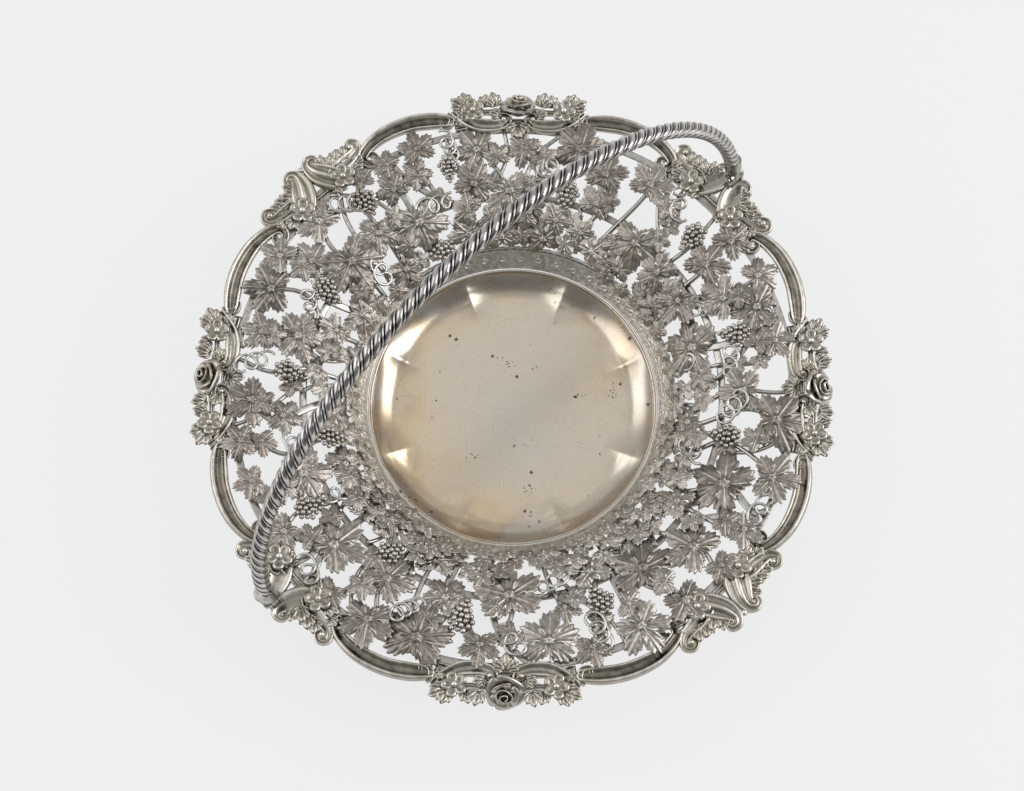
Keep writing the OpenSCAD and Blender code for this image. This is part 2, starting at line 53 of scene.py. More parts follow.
# %% Sizes of the dish and the band
MM = 0.001
SHEET = 1.0
DISH_R = 68.5
DISH_CURVE = 13.5
DISH_DEPTH = 10.0
FOOT_H = 12.0
LIP_Z = FOOT_H + DISH_DEPTH
BAND_LOW_R = 68.7
BAND_TOP_R = 75.2
BAND_TOP_Z = LIP_Z + 7.5
print("the lip stands at", LIP_Z, "mm and the band's upper edge at", BAND_TOP_Z, "mm")

# %% Shape of the wall
WALL_RISE = 28.5
WALL_TURN = 25.0
MID_RING_R = 96.0
TOP_RING_R = 127.5


def wall_z(r):
    """Height of the wall: it climbs steeply from the band and bends to the flat, as 1 - exp."""
    return BAND_TOP_Z + WALL_RISE * (1 - np.exp(-(r - BAND_TOP_R) / WALL_TURN))


def wall_slope(r):
    """Angle of the wall to the table, from the derivative of wall_z."""
    return np.arctan(WALL_RISE / WALL_TURN * np.exp(-(r - BAND_TOP_R) / WALL_TURN))


print("wall height at the rings:", wall_z(np.array([MID_RING_R, TOP_RING_R])).round(1))

# %% [markdown]
# ## Camera
# The photograph looks down steeply from the south side, turned a little. A camera could be dragged in the
# viewport until the picture fits. Here its height, turn and lens were fitted to the rings of the dish and
# the rim, so they are plain numbers, and the camera's three axes are worked out from them as a matrix.

# %% Camera
VIEW_UP = np.radians(73.5)
VIEW_ROUND = np.radians(-88.1)
ROLL = np.radians(1.25)
FAR = 700.0
AIM = np.array([-0.4, 3.8, LIP_Z])
LENS = 51.6
SENSOR = 36.0
back = np.array([np.cos(VIEW_ROUND) * np.cos(VIEW_UP), np.sin(VIEW_ROUND) * np.cos(VIEW_UP),
                 np.sin(VIEW_UP)])
right = np.cross([0, 1, 0], back)
right /= np.linalg.norm(right)
basis = np.column_stack([right, np.cross(back, right), back])
turn = np.array([[np.cos(ROLL), -np.sin(ROLL), 0], [np.sin(ROLL), np.cos(ROLL), 0], [0, 0, 1]])
pose = np.eye(4)
pose[:3, :3] = turn @ basis
pose[:3, 3] = turn @ (AIM + FAR * back) * MM
camera = bpy.data.objects.new("camera", bpy.data.cameras.new("camera"))
camera.data.lens = LENS
camera.data.sensor_width = SENSOR
camera.data.sensor_fit = "HORIZONTAL"
camera.data.clip_start = 0.01
camera.matrix_world = Matrix(pose.tolist())
bpy.context.scene.collection.objects.link(camera)
bpy.context.scene.camera = camera
bpy.context.scene.view_settings.view_transform = "Standard"
print("camera stands at", pose[:3, 3].round(3))

# %% [markdown]
# ## Nodes in few words
# Every finish here is a tree of shader nodes. A tree can be wired by hand in the Shader Editor, but a script
# can't show that, and a line for each wire is long. So a few helpers add a node, work out a sum, find the
# strongest of several values, and carry a value from one range to another.

# %% Node helpers


def add_node(tree, kind, **settings):
    """Adds a shader node. A setting that names an input fills that input, any other sets a property."""
    made = tree.nodes.new(kind)
    for key, value in settings.items():
        name = key.replace("_", " ").title()
        if name in made.inputs:
            made.inputs[name].default_value = value
        else:
            setattr(made, key, value)
    return made


def new_material(name):
    """A new material, its node tree and its Principled shader."""
    made = bpy.data.materials.new(name)
    made.use_nodes = True
    return made, made.node_tree, made.node_tree.nodes["Principled BSDF"]


def work_out(tree, operation, first, second):
    """A math node on two values, each a socket or a number."""
    made = add_node(tree, "ShaderNodeMath", operation=operation)
    for i, value in enumerate((first, second)):
        if hasattr(value, "is_linked"):
            tree.links.new(value, made.inputs[i])
        else:
            made.inputs[i].default_value = value
    return made.outputs[0]


def strongest(tree, values):
    """The largest of several sockets, found two at a time."""
    top = values[0]
    for value in values[1:]:
        top = work_out(tree, "MAXIMUM", top, value)
    return top


def spread(tree, value, low, high, to_low, to_high, smooth=False):
    """Maps a value from one range to another and clamps it; a smooth map eases in and out."""
    made = add_node(tree, "ShaderNodeMapRange", interpolation_type="SMOOTHSTEP" if smooth else "LINEAR")
    for name, number in (("From Min", low), ("From Max", high), ("To Min", to_low), ("To Max", to_high)):
        made.inputs[name].default_value = number
    tree.links.new(value, made.inputs["Value"])
    return made.outputs[0]


print("node helpers ready")

# %% [markdown]
# ## Floor
# The basket stands on white paper. A plain white floor under soft lamps renders grey, and stronger lamps
# would burn out the silver. So most of what the camera and the reflections see of the paper is a flat white
# glow, and the rest is a real surface that takes the basket's shadow. The paper is very wide, so that no
# edge of it shows in a low view.

# %% Floor
FLOOR_HALF = 40.0
PAPER = 0.86
GLOW = 0.885
GLOW_SHARE = 0.86
floor_mesh = bpy.data.meshes.new("floor")
floor_mesh.from_pydata([(-FLOOR_HALF, -FLOOR_HALF, 0), (FLOOR_HALF, -FLOOR_HALF, 0),
                        (FLOOR_HALF, FLOOR_HALF, 0), (-FLOOR_HALF, FLOOR_HALF, 0)], [], [(0, 1, 2, 3)])
floor = bpy.data.objects.new("floor", floor_mesh)
bpy.context.scene.collection.objects.link(floor)
paper, tree, shader = new_material("white_paper")
shader.inputs["Base Color"].default_value = (PAPER, PAPER, PAPER, 1)
shader.inputs["Roughness"].default_value = 0.9
glow = add_node(tree, "ShaderNodeEmission", color=(GLOW, GLOW, GLOW, 1), strength=1.0)
rays = add_node(tree, "ShaderNodeLightPath")
seen = strongest(tree, [rays.outputs[f"Is {kind} Ray"] for kind in ("Camera", "Glossy", "Transmission")])
mix = add_node(tree, "ShaderNodeMixShader")
tree.links.new(work_out(tree, "MULTIPLY", seen, GLOW_SHARE), mix.inputs[0])
tree.links.new(shader.outputs[0], mix.inputs[1])
tree.links.new(glow.outputs[0], mix.inputs[2])
tree.links.new(mix.outputs[0], tree.nodes["Material Output"].inputs["Surface"])
floor_mesh.materials.append(paper)
print("the paper is", 2 * FLOOR_HALF, "m wide")

# %% [markdown]
# ## World and lamps
# Silver shows little but what it mirrors. An even white world would leave it flat, and a picture of a real
# studio isn't used here. So the world is a gradient: dim in front, pale behind, paler straight above, and
# as white as the paper near the horizon. Two soft panels at the sides give the bright edges.

# %% World
FRONT_LIGHT = 0.20
BACK_LIGHT = 0.58
TOP_LIGHT = 0.22
SKYLINE = 0.80
world = bpy.data.worlds.new("studio")
bpy.context.scene.world = world
world.use_nodes = True
tree = world.node_tree
sky = add_node(tree, "ShaderNodeTexCoord")
direction = add_node(tree, "ShaderNodeSeparateXYZ")
tree.links.new(sky.outputs["Generated"], direction.inputs[0])
fade = spread(tree, direction.outputs["Y"], -0.60, 0.45, FRONT_LIGHT, BACK_LIGHT, smooth=True)
cap = spread(tree, direction.outputs["Z"], 0.72, 0.97, 0.0, TOP_LIGHT, smooth=True)
haze = spread(tree, direction.outputs["Z"], 0.08, 0.24, 1.0, 0.0, smooth=True)
skyline = add_node(tree, "ShaderNodeMix", data_type="FLOAT")
skyline.inputs[3].default_value = SKYLINE
tree.links.new(haze, skyline.inputs[0])
tree.links.new(work_out(tree, "ADD", fade, cap), skyline.inputs[2])
tree.links.new(skyline.outputs[0], tree.nodes["Background"].inputs["Color"])
print("world goes from", FRONT_LIGHT, "in front to", BACK_LIGHT, "behind")

# %% Lamps


def panel(name, place, size, power):
    """A square soft light that looks at the basket."""
    lamp = bpy.data.lights.new(name, "AREA")
    lamp.size, lamp.energy = size, power
    made = bpy.data.objects.new(name, lamp)
    made.location = place
    aim = Vector((0, 0, 0.04)) - Vector(place)
    made.rotation_euler = aim.to_track_quat("-Z", "Y").to_euler()
    bpy.context.scene.collection.objects.link(made)


panel("panel_left", (-1.0, -0.05, 0.85), 1.15, 5.6)
panel("panel_right", (1.0, 0.0, 0.85), 0.85, 7.4)
print("two panels set")

# %% [markdown]
# ## Silver
# Old silver is bright where hands and cloth reach it and dark where they do not. One even grey would look
# like plastic, and no painted image is used. So each mesh carries a number called tone at every point: 0 in
# a groove, 1 on a ridge. Besides tarnish and wear, tone holds painted light and shade: many pieces are
# lighter on top or on the side that faces into the basket and darker below, and balls, puffs and crests
# carry painted highlights. The material reads it, adds a little noise, and picks a colour from dark tarnish
# and painted shade to bright metal and painted highlight. Roughness follows the same noise.

# %% Ramps, noise and mixes


def ramp(tree, stops):
    """A colour ramp from (place, colour) pairs."""
    made = add_node(tree, "ShaderNodeValToRGB")
    while len(made.color_ramp.elements) < len(stops):
        made.color_ramp.elements.new(0.5)
    for element, (place, colour) in zip(made.color_ramp.elements, stops):
        element.position, element.color = place, (*colour, 1)
    return made


def noise(tree, scale, detail, stretch=None):
    """A noise on Object coordinates, scale in bumps per metre. stretch, if given, is (length, width, turn):
    the noise is turned about the upright, then drawn out to streaks of that length and width in metres."""
    place = add_node(tree, "ShaderNodeTexCoord")
    made = add_node(tree, "ShaderNodeTexNoise", scale=scale, detail=detail)
    if stretch is None:
        tree.links.new(place.outputs["Object"], made.inputs["Vector"])
    else:
        bend = add_node(tree, "ShaderNodeMapping", vector_type="TEXTURE")
        bend.inputs["Scale"].default_value = (*stretch[:2], 1.0)
        bend.inputs["Rotation"].default_value[2] = stretch[2]
        tree.links.new(place.outputs["Object"], bend.inputs["Vector"])
        tree.links.new(bend.outputs[0], made.inputs["Vector"])
    return made


def mix_colour(tree, share, first, second):
    """Mixes two colours by a share; a colour is a socket or a triple."""
    made = add_node(tree, "ShaderNodeMix", data_type="RGBA")
    tree.links.new(share, made.inputs["Factor"])
    for i, colour in ((6, first), (7, second)):
        if hasattr(colour, "is_linked"):
            tree.links.new(colour, made.inputs[i])
        else:
            made.inputs[i].default_value = (*colour, 1)
    return made.outputs[2]


print("ramps, noise and mixes ready")

# %% Silver with tarnish, wear and painted shade
STAIN_SCALE = 38.0
GRAIN_SCALE = 900.0
GRAIN_HEIGHT = 0.00006
EVEN_TONE = 0.6


# The ramp's dark end is tarnish and painted shade, and its bright end is worn metal and painted highlight.
def silver_worn_and_shaded(name, stops, rough, mottle, stain, toned=True):
    """Silver coloured by tone and noise. stops are the ramp's colours, rough the two roughnesses, mottle the
    noise's (scale, share) and stain the tarnish's (colour, share). A CAD node has no tone, so it gets an
    even one."""
    made, tree, shader = new_material(name)
    cloud = noise(tree, mottle[0], 5.0)
    level = spread(tree, cloud.outputs[0], 0.25, 0.75, -mottle[1], mottle[1])
    tone = EVEN_TONE
    if toned:
        tone = add_node(tree, "ShaderNodeAttribute", attribute_name="tone").outputs["Fac"]
    colours = ramp(tree, stops)
    tree.links.new(work_out(tree, "ADD", level, tone), colours.inputs[0])
    patch = noise(tree, STAIN_SCALE, 3.0)
    share = spread(tree, patch.outputs[0], 0.42, 0.72, 0.0, stain[1])
    tree.links.new(mix_colour(tree, share, colours.outputs[0], stain[0]), shader.inputs["Base Color"])
    tree.links.new(spread(tree, cloud.outputs[0], 0.3, 0.7, *rough), shader.inputs["Roughness"])
    shader.inputs["Metallic"].default_value = 1.0
    bump = add_node(tree, "ShaderNodeBump", strength=0.5, distance=GRAIN_HEIGHT)
    tree.links.new(noise(tree, GRAIN_SCALE, 3.0).outputs[0], bump.inputs["Height"])
    tree.links.new(bump.outputs[0], shader.inputs["Normal"])
    return made


print("old silver has", GRAIN_SCALE, "grains a metre")

# %% Finishes of the pieces
leaf_silver = silver_worn_and_shaded("leaf_silver", [(0.0, (0.05, 0.042, 0.038)), (0.35, (0.286, 0.256, 0.230)),
                                         (0.62, (0.485, 0.450, 0.406)), (1.0, (0.93, 0.896, 0.838))],
                         (0.30, 0.48), (420.0, 0.16), ((0.36, 0.312, 0.275), 0.6))
wire_silver = silver_worn_and_shaded("wire_silver", [(0.0, (0.06, 0.056, 0.05)), (0.5, (0.38, 0.362, 0.335)),
                                         (1.0, (0.88, 0.87, 0.84))],
                         (0.20, 0.36), (300.0, 0.18), ((0.32, 0.285, 0.22), 0.5))
cast_silver = silver_worn_and_shaded("cast_silver", [(0.0, (0.05, 0.045, 0.038)), (0.30, (0.295, 0.270, 0.232)),
                                         (0.60, (0.525, 0.490, 0.430)), (1.0, (0.94, 0.912, 0.858))],
                         (0.22, 0.40), (260.0, 0.18), ((0.38, 0.343, 0.262), 0.6))
rope_silver = silver_worn_and_shaded("rope_silver", [(0.0, (0.012, 0.011, 0.010)), (0.50, (0.17, 0.161, 0.154)),
                                         (0.78, (0.58, 0.56, 0.54)), (1.0, (0.97, 0.955, 0.94))],
                         (0.11, 0.22), (320.0, 0.12), ((0.30, 0.272, 0.245), 0.35))
band_silver = silver_worn_and_shaded("band_silver", [(0.0, (0.16, 0.15, 0.13)), (0.5, (0.74, 0.71, 0.65)),
                                         (1.0, (0.97, 0.96, 0.93))],
                         (0.36, 0.52), (500.0, 0.20), ((0.48, 0.44, 0.36), 0.5))
hinge_silver = silver_worn_and_shaded("hinge_silver", [(0.0, (0.10, 0.095, 0.088)), (0.5, (0.32, 0.305, 0.285)),
                                           (1.0, (0.66, 0.645, 0.62))],
                          (0.18, 0.32), (260.0, 0.3), ((0.50, 0.47, 0.40), 0.4), toned=False)
print("six silver finishes made")

# %% [markdown]
# ### The dish's own finish
# The dish is a plain mirror that has been wiped for many years: fine scratches run every way, small pits
# stand dark in clusters, and a yellow to brown tarnish gathers near the edge where no cloth goes. The marks
# could be cut into the mesh, but they are far finer than its grid. So they are patterns on Object
# coordinates: colours by the distance from the axis, noise drawn out to lines, and the cells of a Voronoi.

# %% Dish tarnish
TARNISH = [(0.0, (0.69, 0.625, 0.535)), (0.45, (0.71, 0.63, 0.52)), (0.62, (0.74, 0.63, 0.47)),
           (0.76, (0.72, 0.575, 0.38)), (0.87, (0.62, 0.49, 0.34)), (0.95, (0.52, 0.435, 0.35)),
           (1.0, (0.60, 0.56, 0.50))]
WIPED = (0.70, 0.635, 0.545)
DRIFT = 0.010
dish_silver, tree, shader = new_material("dish_silver")
shader.inputs["Metallic"].default_value = 1.0
place = add_node(tree, "ShaderNodeTexCoord")
flat = add_node(tree, "ShaderNodeVectorMath", operation="MULTIPLY")
flat.inputs[1].default_value = (1, 1, 0)
distance = add_node(tree, "ShaderNodeVectorMath", operation="LENGTH")
tree.links.new(place.outputs["Object"], flat.inputs[0])
tree.links.new(flat.outputs[0], distance.inputs[0])
drift = spread(tree, noise(tree, 55.0, 4.0).outputs[0], 0.3, 0.7, -DRIFT, DRIFT)
edge = work_out(tree, "ADD", distance.outputs["Value"], drift)
tarnish = ramp(tree, TARNISH)
tree.links.new(spread(tree, edge, 0.0, DISH_R * MM, 0.0, 1.0), tarnish.inputs[0])
clouds = noise(tree, 24.0, 4.0)
cleaned = spread(tree, clouds.outputs[0], 0.40, 0.62, 0.0, 0.8)
colour = mix_colour(tree, cleaned, tarnish.outputs[0], WIPED)
print("dish tarnish has", len(TARNISH), "colours")

# %% Dish scratches
SCRATCH_LONG = 0.016
SCRATCH_WIDE = 0.00034
SCRATCH_WAYS = (0.3, 0.9, 1.7, 2.4, 2.9)
SCRATCH_COLOUR = (0.34, 0.305, 0.26)
lines = []
for way in SCRATCH_WAYS:
    streak = noise(tree, 1.0, 2.0, (SCRATCH_LONG, SCRATCH_WIDE, way))
    lines.append(spread(tree, streak.outputs[0], 0.67, 0.73, 0.0, 1.0))
scratches = strongest(tree, lines)
colour = mix_colour(tree, work_out(tree, "MULTIPLY", scratches, 0.50), colour, SCRATCH_COLOUR)
print("scratches run", len(lines), "ways")

# %% Dish pits
# A row of PITS is cells per metre, where a pit starts and ends to fade in parts of a cell, and the level
# of the noise above which pits crowd.
PITS = [(70.0, 0.030, 0.075, 0.53), (150.0, 0.035, 0.085, 0.605), (420.0, 0.09, 0.18, 0.65)]
PIT_COLOUR = (0.10, 0.085, 0.07)
PIT_RAGGED = 0.0009
ragged = add_node(tree, "ShaderNodeVectorMath", operation="MULTIPLY_ADD")
ragged.inputs[1].default_value = (PIT_RAGGED, PIT_RAGGED, 0.0)
tree.links.new(noise(tree, 900.0, 2.0).outputs["Color"], ragged.inputs[0])
tree.links.new(place.outputs["Object"], ragged.inputs[2])
dots = []
for scale, inner, outer, crowd in PITS:
    cells = add_node(tree, "ShaderNodeTexVoronoi", scale=scale, voronoi_dimensions="2D")
    tree.links.new(ragged.outputs[0], cells.inputs["Vector"])
    dot = spread(tree, cells.outputs["Distance"], inner, outer, 1.0, 0.0)
    cluster = spread(tree, noise(tree, 70.0, 3.0).outputs[0], crowd, crowd + 0.05, 0.0, 1.0)
    dots.append(work_out(tree, "MULTIPLY", dot, cluster))
pits = strongest(tree, dots)
tree.links.new(mix_colour(tree, pits, colour, PIT_COLOUR), shader.inputs["Base Color"])
print("pits come in", len(dots), "sizes")

# %% Dish gloss
sheen = spread(tree, clouds.outputs[0], 0.3, 0.7, 0.21, 0.29)
dulled = work_out(tree, "MULTIPLY", scratches, 0.10)
tree.links.new(work_out(tree, "ADD", sheen, dulled), shader.inputs["Roughness"])
ripple = add_node(tree, "ShaderNodeBump", strength=0.25, distance=0.0006)
tree.links.new(noise(tree, 34.0, 1.0).outputs[0], ripple.inputs["Height"])
dent = add_node(tree, "ShaderNodeBump", strength=0.35, distance=0.00005, invert=True)
tree.links.new(pits, dent.inputs["Height"])
tree.links.new(ripple.outputs[0], dent.inputs["Normal"])
tree.links.new(dent.outputs[0], shader.inputs["Normal"])
print("dish finish made")

# %% [markdown]
# ## From arrays to pieces
# Blender can grow a mesh from primitives and modifiers, or take one whole from numbers. Every piece here is
# worked out as a numpy array, so it is taken whole. A part is a triple: points, quads and tones. A piece
# joins many parts into one mesh, merges the points that meet at seams and poles, turns every face outward,
# and rides on its CAD body.

# %% Grids


def grid_quads(rows, cols):
    """Quads of a grid of points numbered row by row, its last column joined to the first."""
    r, c = np.meshgrid(np.arange(rows - 1), np.arange(cols), indexing="ij")
    first, second = r * cols + c, r * cols + (c + 1) % cols
    return np.stack([first, second, second + cols, first + cols], -1).reshape(-1, 4)


def part(points, tone):
    """A part from a (rows, cols, 3) array of points and a tone that fits its rows and columns."""
    rows, cols = points.shape[:2]
    tones = np.broadcast_to(np.asarray(tone, float), (rows, cols)).reshape(-1)
    return points.reshape(-1, 3), grid_quads(rows, cols), tones


def many(points, tone):
    """Parts from an (n, rows, cols, 3) array: n copies of one grid with their own points and tones."""
    n, rows, cols = points.shape[:3]
    quads = grid_quads(rows, cols)
    quads = (quads[None] + (np.arange(n) * rows * cols)[:, None, None]).reshape(-1, 4)
    tones = np.broadcast_to(tone, (n, rows, cols)).reshape(-1)
    return points.reshape(-1, 3), quads, tones


print("a grid of 3 by 4 points has", len(grid_quads(3, 4)), "quads")

# %% Mesh builder
SEAM_GAP = 2e-7


def make_piece(name, parts, material, nodes, body="basket"):
    """One mesh object from parts in mm, riding on a body in place of its CAD nodes."""
    starts = np.cumsum([0] + [len(p) for p, _, _ in parts])[:-1]
    points = np.concatenate([p for p, _, _ in parts]) * MM
    quads = np.concatenate([q + s for (_, q, _), s in zip(parts, starts)])
    mesh = bpy.data.meshes.new(name)
    mesh.vertices.add(len(points))
    mesh.vertices.foreach_set("co", points.ravel())
    mesh.loops.add(quads.size)
    mesh.loops.foreach_set("vertex_index", quads.ravel().astype(np.int32))
    mesh.polygons.add(len(quads))
    mesh.polygons.foreach_set("loop_start", np.arange(0, quads.size, 4, dtype=np.int32))
    mesh.update(calc_edges=True)
    tones = mesh.attributes.new("tone", "FLOAT", "POINT")
    tones.data.foreach_set("value", np.concatenate([t for _, _, t in parts]).astype(np.float32))
    work = bmesh.new()
    work.from_mesh(mesh)
    bmesh.ops.remove_doubles(work, verts=work.verts, dist=SEAM_GAP)
    bmesh.ops.recalc_face_normals(work, faces=work.faces)
    work.to_mesh(mesh)
    work.free()
    mesh.polygons.foreach_set("use_smooth", np.ones(len(mesh.polygons), bool))
    mesh.materials.append(material)
    made = bpy.data.objects.new(name, mesh)
    bpy.context.scene.collection.objects.link(made)
    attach(made, body)
    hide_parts(*nodes)
    print(name, len(mesh.polygons), "faces")


print("mesh builder ready")

# %% [markdown]
# ## Onto the wall
# An ornament is easiest to draw lying flat at the origin. It could then be an object of its own, turned and
# moved into place, but a piece's place has to be in its mesh. So its points are turned and carried to the
# wall as arrays: the wall gives an origin and three axes at every bearing and radius.

# %% Turning and placing


def turn_flat(points, heading):
    """Turns points about the upright by heading, a number or an array of copies."""
    c, s = np.cos(heading), np.sin(heading)
    return np.stack([points[..., 0] * c - points[..., 1] * s, points[..., 0] * s + points[..., 1] * c,
                     points[..., 2] + 0 * c], -1)


def around_axis(r, z, a):
    """Points at radius r and height z, turned by the angle a about the basket's axis."""
    return np.stack([r * np.cos(a), r * np.sin(a), z + 0 * a], -1)


def to_wall(points, bearing, r, lift=0.0):
    """Carries local points to the wall: x away from the axis, y along the rim, z into the basket.
    bearing (degrees) and r may be arrays, one for each set of points."""
    b, r = np.radians(np.asarray(bearing, float)), np.asarray(r, float)
    slope = wall_slope(r)
    out = np.stack([np.cos(b) * np.cos(slope), np.sin(b) * np.cos(slope), np.sin(slope)], -1)
    side = np.stack([-np.sin(b), np.cos(b), 0 * b], -1)
    up = np.stack([-np.cos(b) * np.sin(slope), -np.sin(b) * np.sin(slope), np.cos(slope)], -1)
    origin = np.stack([r * np.cos(b), r * np.sin(b), wall_z(r)], -1) + up * np.asarray(lift)[..., None]
    axes = np.stack([out, side, up], -2)
    shape = points.shape
    flat = points.reshape(*b.shape, -1, 3) @ axes + origin[..., None, :]
    return flat.reshape(shape)


print("the top strap lies at", to_wall(np.zeros((1, 3)), 0.0, TOP_RING_R)[0].round(1))

# %% [markdown]
# ## Tubes and mouldings
# Wires, straps and scrolls are all one idea: a closed outline carried along a path. A Blender curve with a
# bevel could do that, but here the outline's width, height and tone change along the way, so the sweep is
# worked out as one array. Where the path ends, the outline shrinks to a point, so the end is closed. A ring
# about the basket's own axis needs no path: its profile is only turned.

# %% Sweep
full_turn = np.linspace(0, 2 * np.pi, 10, endpoint=False)
ROUND = np.stack([np.cos(full_turn), np.sin(full_turn)], -1)


def unit(v):
    """Vectors scaled to length 1 along the last axis."""
    return v / np.maximum(np.linalg.norm(v, axis=-1, keepdims=True), 1e-9)


def sweep(path, over, outline, width, height, tone=None):
    """Carries an outline along a path and closes both ends. over is the outline's upward direction at each
    step; the outline's x is scaled by width across the path and its y by height along over."""
    path = np.asarray(path, float)
    n = len(path)
    ahead = unit(np.gradient(path, axis=0))
    over = unit(np.broadcast_to(over, path.shape) - ahead * np.sum(ahead * over, -1, keepdims=True))
    across = np.cross(over, ahead)
    path, across, over = (np.concatenate([a[:1], a, a[-1:]]) for a in (path, across, over))
    width, height = (np.concatenate([[0.0], np.broadcast_to(a, n), [0.0]]) for a in (width, height))
    points = (path[:, None] + across[:, None] * (outline[None, :, 0] * width[:, None])[..., None]
              + over[:, None] * (outline[None, :, 1] * height[:, None])[..., None])
    # Without its own tone, a sweep is painted lighter on its upper side and darker below: painted light and
    # shade.
    if tone is None:
        tone = 0.35 + 0.35 * outline[:, 1] / np.abs(outline[:, 1]).max()
    return part(points, tone)


print("the round outline has", len(ROUND), "points")

# %% Turned rings


def revolve(profile, steps=192, tone=0.5):
    """Turns a profile of (radius, height) points about the axis, from its last point back to its first."""
    profile = np.asarray(profile, float)
    closed = np.append(np.arange(len(profile)), 0)
    tones = np.broadcast_to(tone, len(profile))
    a = np.linspace(0, 2 * np.pi, steps, endpoint=False)
    points = around_axis(profile[closed, :1], profile[closed, 1:], a)
    return part(points, tones[closed, None])


print("a turned square has", len(revolve([[1, 0], [2, 0], [2, 1], [1, 1]], 8)[1]), "quads")

# %% [markdown]
# ## The dish
# The real dish was raised from one sheet, then its side was pushed out in eight lobes that leave eight
# sharp creases. A spun profile with creases pulled by hand would do, but no two would be alike. Here the
# height is a function of radius and angle: a flat floor, a curved side, and a fold that grows towards the
# lip along each crease.

# %% Dish
CREASES = 8
CREASE_START = 46.0
CREASE_RISE = 11.0
CREASE_FADE = 6.0
CREASE_H = 2.4
LIP_R = 67.7
LIP_ROLL = 0.75


def dish_height(r, a, under):
    """Height of the sheet: flat, then a parabola up to the lip, with a fold along each crease."""
    thick = 0 if under else SHEET
    side = np.clip((r - DISH_R + DISH_CURVE) / DISH_CURVE, 0, 1) ** 2
    crease = (1 - np.abs(np.sin(CREASES / 2 * (a - np.pi / CREASES)))) ** 1.8
    fold = (np.clip((r - CREASE_START) / CREASE_RISE, 0, 1) ** 1.5
            * np.clip((DISH_R - r) / CREASE_FADE, 0, 1) ** 0.8)
    return FOOT_H + thick + (DISH_DEPTH - thick) * side + CREASE_H * crease * fold


def dish_part():
    """Top sheet, rolled lip and underside as one closed grid of rings."""
    a = np.linspace(0, 2 * np.pi, 384, endpoint=False)
    top_r = np.concatenate([[0.0], np.linspace(6, 40, 10), np.linspace(43, 67.2, 40)])[:, None]
    under_r = top_r[::-1][2:]
    lip = np.radians(np.linspace(150, -60, 10))[:, None]
    top = around_axis(top_r, dish_height(top_r, a, False), a)
    roll = around_axis(LIP_R + LIP_ROLL * np.cos(lip), LIP_Z - 0.6 + LIP_ROLL * np.sin(lip), a)
    below = around_axis(under_r, dish_height(under_r, a, True), a)
    return part(np.concatenate([top, roll, below]), 0.6)


make_piece("dish_sheet", [dish_part()], dish_silver, ["dish"])

# %% [markdown]
# ## The foot
# The photograph hides the foot. A plain collar with a bead at its waist and a rounded rim is usual on such
# baskets. A CAD solid could stay here, but its edges are sharp, so both are turned from a profile.

# %% Foot
FOOT_R = 46.0
FOOT_FLARE = 6.0
FOOT_RIM_H = 2.4
FOOT_WALL = 1.2
FOOT_BEAD = 1.6
t = np.linspace(0, 1, 16)
waist = 0.5 * np.exp(-((t - 0.55) / 0.06) ** 2)
collar_r = FOOT_R - FOOT_FLARE * np.sin(np.pi / 2 * t) + waist
collar_z = FOOT_RIM_H + (FOOT_H - 0.1 - FOOT_RIM_H) * t
collar = np.concatenate([np.stack([collar_r, collar_z], -1),
                         np.stack([collar_r - FOOT_WALL, collar_z], -1)[::-1]])
make_piece("foot_collar_ogee", [revolve(collar)], wire_silver, ["foot_collar"])
bead = np.radians(np.linspace(-20, 200, 14))
rim = np.concatenate([[[FOOT_R - FOOT_BEAD, 0], [FOOT_R + 1.5, 0]],
                      np.stack([FOOT_R + FOOT_BEAD * np.cos(bead), 1.0 + 1.4 * np.sin(bead)], -1)])
make_piece("foot_rim_bead", [revolve(rim)], wire_silver, ["foot_rim"])

# %% [markdown]
# ## The stamped band
# The band came off a roller, so one small ring with its petals and a little scroll repeats all the way
# round. It could be a bump in the material, but then its edge and its shadow would be flat. So the relief is
# in the mesh, as a sum of smooth bumps in band coordinates: p along the band, q across it.

# %% Relief of the band
STUD_PITCH = 8.9
BAND_WIDE = 9.9


def band_relief(p, q):
    """Relief in mm: two edge mouldings, a ring with eight petals, and a leaf and four curls between rings.
    A moulding or ring is a bell curve of the distance from its line, and petals are a power of a cosine."""
    edge = 0.22 * (np.exp(-((q - 0.05) / 0.045) ** 2) + np.exp(-((q - 0.95) / 0.045) ** 2))
    edge = edge + 0.12 * (np.exp(-((q - 0.17) / 0.03) ** 2) + np.exp(-((q - 0.83) / 0.03) ** 2))
    x, y = (p - 0.5) * STUD_PITCH, (q - 0.5) * BAND_WIDE
    d, turned = np.hypot(x, y), np.arctan2(y, x)
    stud = 0.50 * np.exp(-((d - 1.1) / 0.36) ** 2) - 0.25 * np.exp(-(d / 0.5) ** 2)
    petals = 0.30 * np.exp(-((d - 2.4) / 0.5) ** 2) * (0.5 + 0.5 * np.cos(8 * turned)) ** 2
    xs = (np.mod(p + 0.5, 1.0) - 0.5) * STUD_PITCH
    leaf = 0.28 * np.exp(-(xs / 0.5) ** 2) * np.exp(-(y / 2.2) ** 2)
    curl = 0.26 * np.exp(-((np.hypot(np.abs(xs) - 1.0, np.abs(y) - 2.0) - 0.75) / 0.22) ** 2)
    return edge + stud + petals + leaf + curl


print("relief in the middle of a stud:", band_relief(0.5, 0.5).round(2), "mm")

